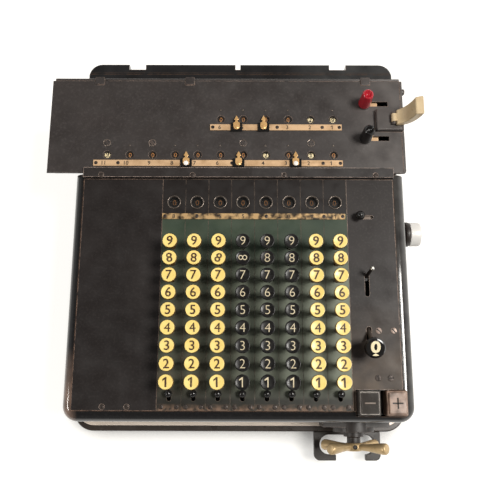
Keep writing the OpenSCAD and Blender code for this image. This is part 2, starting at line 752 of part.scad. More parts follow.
module carriage_cover() machine() color(black) {
    difference() {
        union() {
            block(car_x0, car_x1, car_y0, car_y1, car_z1 - sheet_t, car_z1);
            block(car_x0, car_x1, car_y0 + front_lip, car_y1, car_z0 + bed_t, car_z1);
            block(box_x0, car_x1 - 1, box_y0, box_y1, car_z1 - 1, car_z1 + box_h);
        }
        block(car_x0 + sheet_t, car_x1 - sheet_t, car_y0 + front_lip + sheet_t, car_y1 - sheet_t, car_z0,
            car_z1 - sheet_t);
        for (x = result_x()) rod_z(x, result_y, car_z1 - 2, car_z1 + 1, register_d / 2);
        for (x = counter_x()) rod_z(x, counter_y, car_z1 - 2, car_z1 + 1, register_d / 2);
        for (y = [red_y, black_y])
            slot(clear_x - 1.8 - slide_gap, clear_x + knob_travel + 5, y - 1.8 - slide_gap,
                y + 1.8 + slide_gap, car_z1 - 2, car_z1 + 1);
    }
    for (y = [thumb_y - tongue_w / 2 - slide_gap - ear_w, thumb_y + tongue_w / 2 + slide_gap]) {
        block(thumb_x - thumb_r, thumb_x + 1.4, y, y + ear_w, car_z1 + box_h - 1, thumb_z);
        rod_y(thumb_x, y, y + ear_w, thumb_z, thumb_r - 0.2);
    }
    rod_y(thumb_x, thumb_y - tongue_w / 2 - 1, thumb_y + tongue_w / 2 + 1, thumb_z, pin_r);
    rod_x(car_x0 + 2, car_x1 - 2, car_y1 + 1.2, car_z1 - 2, 1.5);
    for (k = lug_at) let (x = car_x0 + k * (car_x1 - car_x0))
        block(x - 4, x + 4, car_y1 - 4, car_y1 + 3, car_z1 - 1, car_z1 + 1);
}

module carriage_bed() machine() color(steel) {
    block(car_x0, car_x1, car_y0 + front_lip, car_y1, car_z0, car_z0 + bed_t);
    for (p = [[digit_x(result_digits - 1) - 17, result_y], [last_x + 12, result_y],
            [digit_x(counter_digits - 1) - 17, counter_y], [last_x + 12, counter_y]])
        difference() {
            block(p[0], p[0] + 3, p[1] - 4, p[1] + 4, car_z0 + bed_t, dial_z + 4);
            rod_x(p[0] - 1, p[0] + 4, p[1], dial_z, spindle_d / 2 + run_fit);
        }
}

// Rack teeth point down to the wheel on the shift shaft; a gap stands over the shaft
module carriage_rack() machine() color(steel) {
    p = PI * shift_module;
    low = -shift_module;
    n = carriage_steps * rack_teeth_per_step + 2;
    half = p / 4 - 0.08;
    s = tan(20);
    translate([shift_x, shift_y0 + shift_w, rack_z]) rotate([90, 0, 0]) linear_extrude(shift_w) {
        translate([-(n + 1) * p, 1.25 * shift_module]) square([(n + 4) * p, rack_back]);
        for (k = [-n:2]) translate([(k - 0.5) * p, 0]) polygon([
            [-half + low * -s, low], [half - low * -s, low],
            [half + 1.25 * shift_module * s, 1.25 * shift_module + 0.01],
            [-half - 1.25 * shift_module * s, 1.25 * shift_module + 0.01]]);
    }
}

module counter_strip() machine() color(brass)
    block(digit_x(counter_digits - 1) - 9, last_x + 7, counter_strip_y, counter_strip_y + strip_w, car_z1,
        car_z1 + strip_t);

module result_strip() machine() color(brass)
    block(digit_x(result_digits - 1) - 11, last_x + 7, result_strip_y, result_strip_y + strip_w, car_z1,
        car_z1 + strip_t);

// Saddle over the strip with an arrow towards the windows
module marker(x, y) {
    z1 = car_z1 + strip_t + slide_gap;
    w = marker_w / 2;
    block(x - w, x + w, y - 1.1, y + strip_w + 1.1, z1, z1 + 1.2);
    for (e = [y - 1.1, y + strip_w + slide_gap])
        block(x - w, x + w, e, e + 1.1 - slide_gap, car_z1 + slide_gap, z1);
    translate([x, y + strip_w, z1]) linear_extrude(1.2) polygon([[-2.2, 0], [2.2, 0], [1.4, 4.5],
        [2.4, 5.5], [0, 9], [-2.4, 5.5], [-1.4, 4.5]]);
    rod_z(x, y + strip_w / 2, z1 + 1, z1 + 3, 1.8);
}

module counter_marker(k) machine() color(brass) marker(digit_x([0, 4.3, 3.1][k]), counter_strip_y);

module result_marker(k) machine() color(brass) marker(digit_x([0, 6.5, 4.2, 1.7][k]), result_strip_y);

module clear_knob(y) {
    translate([clear_x, y, car_z1 + slide_gap]) rotate_extrude() polygon([[0, 0], [knob_d / 2 - 0.6, 0],
        [knob_d / 2, 1], [knob_d / 2 - 0.8, knob_h - 2], [knob_d / 2 - 2, knob_h], [1.5, knob_h],
        [0, knob_h - 1]]);
    rod_z(clear_x, y, dial_z, car_z1 + 1, 1.8);
}

module counter_clear_knob() machine() color([0.7, 0.1, 0.15]) clear_knob(red_y);

module result_clear_knob() machine() color(black) clear_knob(black_y);

// Tongue on the pivot, then a scoop that rises to the thumb rest
module thumb_lever() machine() color(ivory) difference() {
    union() {
        rod_y(thumb_x, thumb_y - tongue_w / 2, thumb_y + tongue_w / 2, thumb_z, thumb_r);
        block(thumb_x, thumb_x + 4, thumb_y - tongue_w / 2, thumb_y + tongue_w / 2, thumb_z - thumb_r,
            thumb_z + thumb_r);
        translate([thumb_x + 2.8, thumb_y + thumb_w / 2, thumb_z - thumb_r]) rotate([90, 0, 0])
            linear_extrude(thumb_w) scale([thumb_l, thumb_h]) polygon([[0, 0], [0.2, 0], [0.49, 0.09],
                [0.72, 0.31], [0.88, 0.62], [1, 0.96], [0.6, 1], [0.53, 0.7], [0.38, 0.42], [0.18, 0.24],
                [0, 0.194]]);
    }
    rod_y(thumb_x, thumb_y - tongue_w, thumb_y + tongue_w, thumb_z, pin_r + run_fit);
}

// Shift handle

module shift_handle() machine() color(brass) difference() {
    union() {
        rod_y(shift_x, handle_y - handle_hub_w / 2, handle_y + handle_hub_w / 2, shift_z, handle_hub_r);
        for (a = [45:90:315]) translate([shift_x, handle_y, shift_z]) rotate([0, a, 0]) rotate_extrude()
            polygon([[0, 0], [arm_root_r, handle_hub_w / 2], [arm_waist_r, arm_waist],
                [arm_d / 2, arm_l - arm_cap], [arm_d / 2, arm_l - 0.4 * arm_cap],
                [arm_d / 2 - 0.4 * arm_cap, arm_l], [0, arm_l]]);
    }
    rod_y(shift_x, handle_y - shaft_seat, handle_y + handle_hub_w / 2 + 1, shift_z, shaft_d / 2 + 0.02);
}

module shift_shaft() machine() color(steel) {
    rod_y(shift_x, handle_y - shaft_seat, shift_y0 + shift_w + 3, shift_z, shaft_d / 2);
    translate([shift_x, shift_y0 + shift_w, shift_z]) rotate([90, 0, 0]) linear_extrude(shift_w)
        gear_profile(shift_teeth, shift_module, 90);
}

module result_dials() machine() color(black)
    dials(result_x(), result_y, dial_z, dial_d, dial_w, digit_x(result_digits - 1) - 18, last_x + 16);

module counter_dials() machine() color(black)
    dials(counter_x(), counter_y, dial_z, dial_d, dial_w, digit_x(counter_digits - 1) - 18, last_x + 16);

base_plate();
rubber_feet();
foot_moulding();
casing();
left_panel();
right_panel();
column_plates();
panel_screws();
keyboard_strip();
window_rings();
window_glasses();
front_rail();
deck_rails();
handle_guard();
shift_bearing();
inner_frame();
motor();
drum_shaft();
stepped_drums();
side_knob();
motor_pinion();
check_dials();
for (c = [1:columns]) keys_column(c);
for (c = [1:columns]) clear_button(c);
minus_key();
plus_key();
zero_lever();
mode_lever();
dial_lever();
carriage_cover();
carriage_bed();
carriage_rack();
counter_strip();
result_strip();
for (k = [1:2]) counter_marker(k);
for (k = [1:3]) result_marker(k);
counter_clear_knob();
result_clear_knob();
thumb_lever();
shift_handle();
shift_shaft();
result_dials();
counter_dials();
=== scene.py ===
import json
import math

import bmesh
import bpy
from mathutils import Matrix, Vector


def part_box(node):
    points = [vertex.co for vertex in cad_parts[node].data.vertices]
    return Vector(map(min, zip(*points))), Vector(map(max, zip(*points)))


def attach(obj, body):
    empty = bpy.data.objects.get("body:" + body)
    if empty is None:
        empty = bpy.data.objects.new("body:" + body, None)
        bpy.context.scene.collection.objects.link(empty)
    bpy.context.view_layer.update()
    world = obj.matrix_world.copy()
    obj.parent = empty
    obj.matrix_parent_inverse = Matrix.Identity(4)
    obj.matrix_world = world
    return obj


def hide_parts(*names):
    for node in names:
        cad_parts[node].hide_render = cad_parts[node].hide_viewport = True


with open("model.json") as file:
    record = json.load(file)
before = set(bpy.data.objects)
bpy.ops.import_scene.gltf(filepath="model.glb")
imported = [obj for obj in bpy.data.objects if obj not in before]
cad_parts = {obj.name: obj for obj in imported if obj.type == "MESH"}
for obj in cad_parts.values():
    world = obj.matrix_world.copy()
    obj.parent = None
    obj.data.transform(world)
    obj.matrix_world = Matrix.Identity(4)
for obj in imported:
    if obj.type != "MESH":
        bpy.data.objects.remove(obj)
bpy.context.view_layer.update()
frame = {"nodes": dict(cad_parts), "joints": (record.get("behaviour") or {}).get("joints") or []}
nodes = frame["nodes"]
mm = 0.001
weld = 1e-6  # points closer than this are one
print("frame loaded:", len(nodes), "nodes")


# places that the frame gives
def middle(node):
    low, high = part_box(node)
    return (low + high) / 2


panelGap = 0.1 * mm
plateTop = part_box("left_panel")[1].z
keyBoxes = [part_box(f"keys_column_{c}") for c in range(1, 9)]
keysLow, keysHigh = keyBoxes[0]
keyRadius = (keysHigh.x - keysLow.x) / 2
keyRun = keysHigh.y - keysLow.y - 2 * keyRadius
keyTop = keysHigh.z
columnX = [(low.x + high.x) / 2 for low, high in keyBoxes]
rowY = [keysLow.y + keyRadius + r * keyRun / 8 for r in range(9)]
pitch = columnX[1] - columnX[0]
middleX = (columnX[3] + columnX[4]) / 2
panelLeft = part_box("left_panel")[0].x - panelGap
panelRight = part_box("right_panel")[1].x + panelGap
windowY = middle("window_rings").y
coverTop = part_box("result_strip")[0].z
resultX = [columnX[-1] - k * pitch for k in range(11)]
counterX = resultX[:6]
resultY = middle("result_dials").y
counterY = middle("counter_dials").y
registers = ((resultX, resultY), (counterX, counterY))
joints = {j["name"]: j for j in frame["joints"]}


def pivotOf(joint):
    return Vector(joints[joint]["pos_m"])


# mesh helpers
def meshFrom(bm, name="shape"):
    bmesh.ops.recalc_face_normals(bm, faces=bm.faces)
    mesh = bpy.data.meshes.new(name)
    bm.to_mesh(mesh)
    bm.free()
    return mesh


def lathe(points, steps):
    # profile of (radius, height) turned about Z
    bm = bmesh.new()
    verts = [bm.verts.new((r * mm, 0, h * mm)) for r, h in points]
    edges = [bm.edges.new(pair) for pair in zip(verts, verts[1:])]
    bmesh.ops.spin(bm, geom=verts + edges, cent=(0, 0, 0), axis=(0, 0, 1), angle=math.tau, steps=steps,
                   use_merge=True, use_duplicate=False)
    bmesh.ops.remove_doubles(bm, verts=bm.verts, dist=weld)
    return meshFrom(bm)


def cube(size):
    # box about the origin, size in metres
    bm = bmesh.new()
    bmesh.ops.create_cube(bm, size=1)
    bmesh.ops.scale(bm, vec=size, verts=bm.verts)
    return bm


def roundEdges(bm, edges, width, segments, clamp=False):
    # width in mm
    bmesh.ops.bevel(bm, geom=edges, offset=width * mm, segments=segments, profile=0.5,
                    affect="EDGES", material=-1, clamp_overlap=clamp)


def upperEdge(edge):
    return max(v.co.z for v in edge.verts) > 0


def roundedBox(size, bevel, segments, keep=None):
    # box of size in mm about its own middle; keep(edge) picks the edges that are rounded
    bm = cube([s * mm for s in size])
    roundEdges(bm, [e for e in bm.edges if keep is None or keep(e)], bevel, segments)
    return meshFrom(bm)


def prism(outline, height, bevel=0.0, segments=2):
    # outline of (x, y) in mm, drawn up to height
    bm = bmesh.new()
    face = bm.faces.new([bm.verts.new((x * mm, y * mm, 0)) for x, y in outline])
    up = bmesh.ops.extrude_face_region(bm, geom=[face])
    raised = [v for v in up["geom"] if isinstance(v, bmesh.types.BMVert)]
    bmesh.ops.translate(bm, vec=(0, 0, height * mm), verts=raised)
    bmesh.ops.recalc_face_normals(bm, faces=bm.faces)
    if bevel:
        roundEdges(bm, [e for e in bm.edges if e.calc_face_angle(0) > 0.5], bevel, segments)
    return meshFrom(bm)


# a one with a flag, in shares of the text's size
oneShape = {"half": 0.055, "least": 0.035, "top": 0.36, "head": 0.6, "flagX": 0.24, "flagY": 0.2,
            "flagWidth": 2.2}


def flaggedOne(size, bold):
    half = max(oneShape["least"], oneShape["half"] + bold)
    top, flagX, flagY = oneShape["top"], oneShape["flagX"], oneShape["flagY"]
    outline = [(half, -top), (half, top), (-half * oneShape["head"], top), (-flagX, flagY),
               (-flagX, flagY - oneShape["flagWidth"] * half), (-half, flagY), (-half, -top)]
    bm = bmesh.new()
    bm.faces.new([bm.verts.new((x * size * mm, y * size * mm, 0)) for x, y in outline])
    return meshFrom(bm)


def words(text, size, bold=0.012):
    # flat text about its middle, size in mm; a one on its own gets a flag
    if text == "1":
        return flaggedOne(size, bold)
    curve = bpy.data.curves.new("words", "FONT")
    curve.body = text
    curve.size = size * mm
    curve.offset = bold * size * mm
    curve.align_x = "CENTER"
    curve.align_y = "CENTER"
    curve.resolution_u = 4
    obj = bpy.data.objects.new("words", curve)
    bpy.context.scene.collection.objects.link(obj)
    graph = bpy.context.evaluated_depsgraph_get()
    mesh = bpy.data.meshes.new_from_object(obj.evaluated_get(graph))
    bpy.data.objects.remove(obj)
    bpy.data.curves.remove(curve)
    low = Vector([min(v.co[k] for v in mesh.vertices) for k in range(3)])
    high = Vector([max(v.co[k] for v in mesh.vertices) for k in range(3)])
    mesh.transform(Matrix.Translation(-(low + high) / 2))
    return mesh


def stamp(bm, mesh, matrix):
    copy = mesh.copy()
    copy.transform(matrix)
    bm.from_mesh(copy)
    bpy.data.meshes.remove(copy)


def at(x, y, z):
    return Matrix.Translation((x, y, z))


def turn(angle, axis):
    return Matrix.Rotation(math.radians(angle), 4, axis)


def subtract(mesh, cutters):
    # one exact cut of all the cutter meshes from mesh
    both = bmesh.new()
    for cutter in cutters:
        both.from_mesh(cutter)
    tool = bpy.data.objects.new("tool", meshFrom(both))
    body = bpy.data.objects.new("body", mesh)
    for obj in (tool, body):
        bpy.context.scene.collection.objects.link(obj)
    cut = body.modifiers.new("cut", "BOOLEAN")
    cut.operation = "DIFFERENCE"
    cut.solver = "EXACT"
    cut.use_self = True
    cut.object = tool
    graph = bpy.context.evaluated_depsgraph_get()
    result = bpy.data.meshes.new_from_object(body.evaluated_get(graph))
    for obj in (tool, body):
        bpy.data.objects.remove(obj)
    return result


def boxCutter(low, high):
    bm = cube(Vector(high) - Vector(low))
    bmesh.ops.translate(bm, vec=(Vector(low) + Vector(high)) / 2, verts=bm.verts)
    return meshFrom(bm)


def rodCutter(x, y, low, high, radius, upper=None):
    bm = bmesh.new()
    bmesh.ops.create_cone(bm, cap_ends=True, segments=28, radius1=radius, radius2=upper or radius,
                          depth=high - low)
    bmesh.ops.translate(bm, vec=(x, y, (low + high) / 2), verts=bm.verts)
    return meshFrom(bm)


def softened(node, width):
    # copy of a CAD node with its edges broken
    bm = bmesh.new()
    bm.from_mesh(nodes[node].data)
    bmesh.ops.remove_doubles(bm, verts=bm.verts, dist=weld)
    bmesh.ops.dissolve_limit(bm, angle_limit=math.radians(1), verts=bm.verts, edges=bm.edges)
    hard = [e for e in bm.edges if e.is_manifold and e.calc_face_angle(0) > math.radians(40)]
    roundEdges(bm, hard, width, 2, True)
    return meshFrom(bm)


def piece(name, source, material, body, standsFor=(), sharp=32):
    # source is a mesh or a bmesh; the piece rides on body
    mesh = meshFrom(source) if isinstance(source, bmesh.types.BMesh) else source
    mesh.name = name
    for polygon in mesh.polygons:
        polygon.use_smooth = True
    mesh.set_sharp_from_angle(angle=math.radians(sharp))
    mesh.materials.clear()
    mesh.materials.append(material)
    obj = bpy.data.objects.new(name, mesh)
    bpy.context.scene.collection.objects.link(obj)
    # large flats keep their own normals beside rounded edges
    weigh = obj.modifiers.new("weigh", "WEIGHTED_NORMAL")
    weigh.keep_sharp = True
    even = bpy.data.meshes.new_from_object(obj.evaluated_get(bpy.context.evaluated_depsgraph_get()))
    obj.modifiers.clear()
    obj.data = even
    bpy.data.meshes.remove(mesh)
    even.name = name
    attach(obj, body)
    if standsFor:
        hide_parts(*standsFor)


# material helpers
def startMaterial(name, color, rough, metal=0.0, ior=None):
    material = bpy.data.materials.new(name)
    material.use_nodes = True
    shader = material.node_tree.nodes["Principled BSDF"]
    shader.inputs["Base Color"].default_value = (*color, 1)
    shader.inputs["Roughness"].default_value = rough
    shader.inputs["Metallic"].default_value = metal
    if ior:
        shader.inputs["IOR"].default_value = ior
    return material, material.node_tree, shader


def noise(tree, scale, detail, stretch=(1, 1, 1)):
    place = tree.nodes.new("ShaderNodeTexCoord")
    mapping = tree.nodes.new("ShaderNodeMapping")
    mapping.inputs["Scale"].default_value = stretch
    texture = tree.nodes.new("ShaderNodeTexNoise")
    texture.inputs["Scale"].default_value = scale
    texture.inputs["Detail"].default_value = detail
    tree.links.new(place.outputs["Object"], mapping.inputs["Vector"])
    tree.links.new(mapping.outputs["Vector"], texture.inputs["Vector"])
    return texture.outputs["Fac"]


def fit(tree, value, low, high, toLow, toHigh):
    node = tree.nodes.new("ShaderNodeMapRange")
    for key, number in zip(("From Min", "From Max", "To Min", "To Max"), (low, high, toLow, toHigh)):
        node.inputs[key].default_value = number
    tree.links.new(value, node.inputs["Value"])
    return node.outputs["Result"]


def maths(tree, operation, a, b, clamp=False):
    node = tree.nodes.new("ShaderNodeMath")
    node.operation = operation
    node.use_clamp = clamp
    for k, value in enumerate((a, b)):
        if isinstance(value, (int, float)):
            node.inputs[k].default_value = value
        else:
            tree.links.new(value, node.inputs[k])
    return node.outputs["Value"]


def mixColor(tree, fac, a, b):
    node = tree.nodes.new("ShaderNodeMix")
    node.data_type = "RGBA"
    for key, value in ((0, fac), (6, a), (7, b)):
        if isinstance(value, tuple):
            node.inputs[key].default_value = (*value, 1)
        else:
            tree.links.new(value, node.inputs[key])
    return node.outputs[2]


def edges(tree, radius):
    # 0 on flat places, rising towards 1 on edges rounder than radius
    bevel = tree.nodes.new("ShaderNodeBevel")
    bevel.samples = 6
    bevel.inputs["Radius"].default_value = radius * mm
    plain = tree.nodes.new("ShaderNodeNewGeometry")
    dot = tree.nodes.new("ShaderNodeVectorMath")
    dot.operation = "DOT_PRODUCT"
    tree.links.new(bevel.outputs["Normal"], dot.inputs[0])
    tree.links.new(plain.outputs["Normal"], dot.inputs[1])
    return fit(tree, dot.outputs["Value"], 1.0, 0.86, 0.0, 1.0)


def along(tree, axis):
    place = tree.nodes.new("ShaderNodeTexCoord")
    split = tree.nodes.new("ShaderNodeSeparateXYZ")
    tree.links.new(place.outputs["Object"], split.inputs["Vector"])
    return split.outputs[axis]


def bumpFrom(tree, shader, height, strength, distance):
    node = tree.nodes.new("ShaderNodeBump")
    node.inputs["Strength"].default_value = strength
    node.inputs["Distance"].default_value = distance * mm
    tree.links.new(height, node.inputs["Height"])
    tree.links.new(node.outputs["Normal"], shader.inputs["Normal"])


def link(tree, value, socket):
    tree.links.new(value, socket)


def paint(name, color, worn, rough, wear=1.0, radius=0.7, haze=0.3, zones=(), ior=1.5):
    # brushed-on paint with hazy patches, fine scratches and edges rubbed through to the brown ground coat
    material, tree, shader = startMaterial(name, color, rough, ior=ior)
    scratch = fit(tree, noise(tree, 420, 3, (1, 0.05, 0.3)), 0.66, 0.8, 0, 0.35)
    bare = fit(tree, noise(tree, 160, 6), 0.3, 0.56, 0, wear)
    rub = maths(tree, "MULTIPLY", edges(tree, radius), bare, True)
    lighter = tuple(min(1, c * 2.1 + 0.004) for c in color)
    tone = mixColor(tree, fit(tree, noise(tree, 26, 5), 0.35, 0.75, 0, haze), color, lighter)
    tone = mixColor(tree, scratch, tone, lighter)
    tone = mixColor(tree, fit(tree, noise(tree, 520, 5), 0.5, 0.72, 0, 0.5), tone, lighter)
    for zone in zones:
        # another tone in patches, which fades out between the two places given along an axis
        near = fit(tree, noise(tree, 60, 6), 0.3, 0.65, 0.2, 1)
        for axis, (full, none) in zone["fade"].items():
            near = maths(tree, "MULTIPLY", near, fit(tree, along(tree, axis), full, none, 1, 0), True)
        tone = mixColor(tree, near, tone, zone["tone"])
    link(tree, mixColor(tree, rub, tone, worn), shader.inputs["Base Color"])
    link(tree, fit(tree, noise(tree, 70, 6), 0.3, 0.75, rough * 0.8, rough * 1.35),
         shader.inputs["Roughness"])
    bumpFrom(tree, shader, noise(tree, 900, 3), 0.12, 0.05)
    return material


def metal(name, color, dull, rough, grain=(1, 1, 1), patina=0.5, scale=90, bare=1.0):
    # plated or bare metal, dulled in patches, with a fine grain
    material, tree, shader = startMaterial(name, color, rough, metal=bare)
    spots = fit(tree, noise(tree, scale, 6), 0.42, 0.72, 0, patina)
    link(tree, mixColor(tree, spots, color, dull), shader.inputs["Base Color"])
    link(tree, fit(tree, noise(tree, 300, 4, grain), 0.3, 0.7, rough * 0.75, rough * 1.4),
         shader.inputs["Roughness"])
    bumpFrom(tree, shader, noise(tree, 1400, 3, grain), 0.15, 0.03)
    return material


def plastic(name, color, deep, rough, mottling=0.5, scale=120, ior=None):
    # moulded plastic: cloudy colour, finger polish and a trace of grain
    material, tree, shader = startMaterial(name, color, rough, ior=ior)
    cloud = fit(tree, noise(tree, scale, 5), 0.35, 0.7, 0, mottling)
    link(tree, mixColor(tree, cloud, color, deep), shader.inputs["Base Color"])
    link(tree, fit(tree, noise(tree, 240, 4), 0.3, 0.7, rough * 0.7, rough * 1.4),
         shader.inputs["Roughness"])
    bumpFrom(tree, shader, noise(tree, 1100, 2), 0.08, 0.03)
    return material


enamelZones = [
    # rubbed brown wear with a painted highlight on the front left shoulder
    {"tone": (0.34, 0.23, 0.18),
     "fade": {"Y": (rowY[0] - 14 * mm, rowY[2]), "X": (panelLeft - 4 * mm, panelLeft + 5 * mm),
              "Z": (plateTop - 12 * mm, plateTop - 30 * mm)}},
    # painted sheen: paler grey on the right shoulder, where the light from the right falls
    {"tone": (0.06, 0.057, 0.054),
     "fade": {"X": (panelRight + 1 * mm, panelRight - 3 * mm),
              "Z": (plateTop - 6 * mm, plateTop - 14 * mm)}},
    # painted light: the rear deck greyed out of the carriage's shade, most of all on the right
    {"tone": (0.02, 0.0195, 0.0205), "fade": {"Y": (windowY + 90 * mm, windowY + 60 * mm)}},
    {"tone": (0.05, 0.05, 0.05),
     "fade": {"Y": (windowY + 90 * mm, windowY + 60 * mm), "X": (columnX[7], columnX[5])}},
]
rightZones = [{"tone": (0.1, 0.072, 0.05), "fade": {"Y": (rowY[0] - 10 * mm, rowY[5])}}]
# painted light: the cover paler towards its right end, where the light from the right falls
coverLightZones = [{"tone": (0.1, 0.088, 0.083), "fade": {"X": (panelRight, columnX[7] - 10 * mm)}}]
drawn = (0.04, 1, 1)  # grain of a drawn strip

enamel = paint("casing_enamel", (0.008, 0.0076, 0.0078), (0.13, 0.075, 0.048), 0.08, wear=0.9, radius=1.4,
               haze=0.15, zones=enamelZones, ior=1.58)
# the base's pale rubbed edges are partly wear and partly a painted edge highlight
baseBlack = paint("base_black", (0.036, 0.028, 0.0235), (0.3, 0.25, 0.21), 0.3, wear=0.9, radius=0.9)
panelBlack = paint("panel_black", (0.0136, 0.0108, 0.0102), (0.42, 0.29, 0.23), 0.32, radius=0.5, haze=0.4)
rightBlack = paint("right_panel_black", (0.025, 0.0213, 0.0203), (0.6, 0.46, 0.38), 0.42, wear=1.4,
                   radius=0.5, haze=0.4, zones=rightZones, ior=1.3)
railBlack = paint("rail_black", (0.018, 0.0145, 0.0136), (0.6, 0.46, 0.39), 0.36, wear=1.5, radius=0.6,
                  haze=0.4)
minusBlack = paint("minus_black", (0.025, 0.0205, 0.0175), (0.8, 0.74, 0.68), 0.6, wear=1.8, ior=1.36)
coverBlack = paint("cover_black", (0.031, 0.026, 0.0246), (0.34, 0.24, 0.19), 0.38, haze=0.35,
                   zones=coverLightZones)
fittingBlack = paint("fitting_black", (0.019, 0.0148, 0.013), (0.15, 0.105, 0.085), 0.42, wear=0.9,
                     radius=0.8)
motorIron = paint("motor_iron", (0.03, 0.03, 0.03), (0.12, 0.1, 0.09), 0.5)
nickel = metal("nickel_plate", (0.7, 0.67, 0.62), (0.42, 0.37, 0.31), 0.22)
# pale, mostly unmetallic nickel for the moulding: its near-white colour paints in the reflection of the
# white table
paleNickelPaintedSheen = metal("pale_nickel_painted_sheen", (0.94, 0.81, 0.7), (0.74, 0.63, 0.53), 0.3, (0.05, 1, 1), scale=40,
                   bare=0.12)
# near-white, mostly unmetallic nickel: its colour paints in a highlight on the side knob grip and on two
# marker rivets
nickelPaintedGlint = metal("nickel_painted_glint", (0.9, 0.88, 0.85), (0.76, 0.71, 0.66), 0.42, bare=0.08)
darkNickel = metal("dark_nickel", (0.24, 0.2, 0.17), (0.08, 0.06, 0.05), 0.3, bare=0.8)
screwDark = metal("screw_dark", (0.055, 0.042, 0.036), (0.02, 0.016, 0.014), 0.42, scale=400, bare=0.5)
screwSteel = metal("screw_steel", (0.24, 0.18, 0.15), (0.06, 0.048, 0.04), 0.4, scale=400, bare=0.5)
shaftBronze = metal("shaft_bronze", (0.2, 0.13, 0.09), (0.07, 0.05, 0.04), 0.38, bare=0.7)
innerSteel = metal("inner_steel", (0.36, 0.35, 0.34), (0.2, 0.18, 0.16), 0.4)
stripBrass = metal("strip_brass", (0.73, 0.485, 0.28), (0.42, 0.25, 0.12), 0.38, drawn, patina=0.7,
                   scale=130, bare=0.3)
stripWorn = metal("strip_worn", (0.56, 0.365, 0.17), (0.03, 0.02, 0.012), 0.38, drawn, patina=1.5,
                  scale=190, bare=0.35)
handleBrass = metal("handle_brass", (0.58, 0.42, 0.225), (0.33, 0.235, 0.12), 0.36, patina=0.9, scale=70,
                    bare=0.45)
markerBrass = metal("marker_brass", (0.82, 0.5, 0.21), (0.45, 0.25, 0.09), 0.28, bare=0.45)
ivory = plastic("key_ivory", (0.92, 0.72, 0.25), (0.85, 0.59, 0.15), 0.28, 0.6, 90)
# darker amber sides of the ivory caps: painted shade round the lit tops
ivoryShadedSide = plastic("key_ivory_side_painted_shade", (0.2, 0.11, 0.03), (0.12, 0.065, 0.02), 0.35)
keyBlack = plastic("key_black", (0.008, 0.0075, 0.0075), (0.018, 0.016, 0.015), 0.13)
keyTopBlack = plastic("key_top_black", (0.008, 0.0075, 0.0075), (0.018, 0.016, 0.015), 0.3, ior=1.36)
digitBrown = plastic("digit_brown", (0.045, 0.016, 0.005), (0.085, 0.034, 0.01), 0.5)
digitWhite = plastic("digit_white", (0.7, 0.6, 0.41), (0.46, 0.37, 0.22), 0.5)
signGrey = plastic("sign_grey", (0.2, 0.15, 0.115), (0.1, 0.07, 0.055), 0.5)
digitBlack = plastic("digit_black", (0.014, 0.011, 0.009), (0.03, 0.02, 0.014), 0.6)
digitOrange = plastic("digit_orange", (0.42, 0.19, 0.065), (0.25, 0.1, 0.03), 0.5)
drumCream = plastic("drum_cream", (0.95, 0.82, 0.52), (0.85, 0.66, 0.34), 0.4, 0.6, 300)
digitCream = plastic("digit_cream", (0.86, 0.76, 0.5), (0.7, 0.55, 0.3), 0.45)
redPlastic = plastic("knob_red", (0.46, 0.016, 0.03), (0.3, 0.008, 0.016), 0.2)
creamPlastic = plastic("lever_cream", (0.64, 0.5, 0.31), (0.46, 0.33, 0.18), 0.36)
dialBlack = plastic("dial_black", (0.019, 0.0155, 0.0135), (0.028, 0.022, 0.019), 0.45)
rubber = plastic("foot_rubber", (0.02, 0.02, 0.02), (0.035, 0.034, 0.033), 0.75)

plateTones = {"green": (0.033, 0.052, 0.035), "paleGreen": (0.06, 0.082, 0.056),
              "used": (0.072, 0.056, 0.039), "dustAndLight": (0.18, 0.2, 0.152),
              "grease": (0.014, 0.0125, 0.0105), "rear": (0.017, 0.014, 0.0132),
              "copper": (0.2, 0.125, 0.085), "rubbed": (0.22, 0.165, 0.13)}


def greenPlate():
    # dark green in front of the brass strip, black behind it
    tones = plateTones
    material, tree, shader = startMaterial("plate_green", tones["green"], 0.4, ior=1.34)
    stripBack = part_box("keyboard_strip")[1].y
    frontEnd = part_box("column_plates")[0].y
    x, y = along(tree, "X"), along(tree, "Y")

    def both(first, second):
        return maths(tree, "MULTIPLY", first, second, True)

    tone = mixColor(tree, fit(tree, noise(tree, 40, 6), 0.35, 0.7, 0, 1), tones["green"],
                    tones["paleGreen"])
    # browned by use towards the front, most of all on the left
    used = both(fit(tree, y, rowY[8], rowY[1], 0.15, 1), fit(tree, noise(tree, 75, 6), 0.35, 0.6, 0.25, 1))
    used = both(used, fit(tree, x, columnX[1], columnX[6], 1, 0.4))
    tone = mixColor(tree, used, tone, tones["used"])
    # paler towards the right with dust and with painted light from the right, darker with grease in front of
    # the first row
    dustAndLight = both(fit(tree, x, columnX[1], columnX[6], 0.15, 1), fit(tree, y, rowY[8], rowY[6], 0, 1))
    tone = mixColor(tree, dustAndLight, tone, tones["dustAndLight"])
    tone = mixColor(tree, fit(tree, y, rowY[0], frontEnd + 8 * mm, 0, 0.92), tone, tones["grease"])
    tone = mixColor(tree, fit(tree, y, stripBack - 0.2 * mm, stripBack + 0.2 * mm, 0, 1), tone,
                    tones["rear"])
    # rubbed to copper at the front end and along the joins
    front = both(fit(tree, y, frontEnd + 5.5 * mm, frontEnd + 1 * mm, 0, 1),
                 fit(tree, noise(tree, 210, 6), 0.38, 0.62, 0, 1))
    tone = mixColor(tree, front, tone, tones["copper"])
    rub = both(edges(tree, 0.5), fit(tree, noise(tree, 190, 5), 0.3, 0.55, 0, 0.9))
    link(tree, mixColor(tree, rub, tone, tones["rubbed"]), shader.inputs["Base Color"])
    link(tree, fit(tree, noise(tree, 120, 5), 0.3, 0.7, 0.3, 0.52), shader.inputs["Roughness"])
    bumpFrom(tree, shader, noise(tree, 800, 3), 0.14, 0.05)
    return material


def clearGlass():
    # thin flat glass: mostly see-through, with a smeared gloss
    material, tree, shader = startMaterial("window_glass", (0.02, 0.02, 0.02), 0.05, ior=1.5)
    shader.inputs["Alpha"].default_value = 0.22
    link(tree, fit(tree, noise(tree, 200, 3), 0.3, 0.7, 0.03, 0.12), shader.inputs["Roughness"])
    return material


plateGreen = greenPlate()
glass = clearGlass()


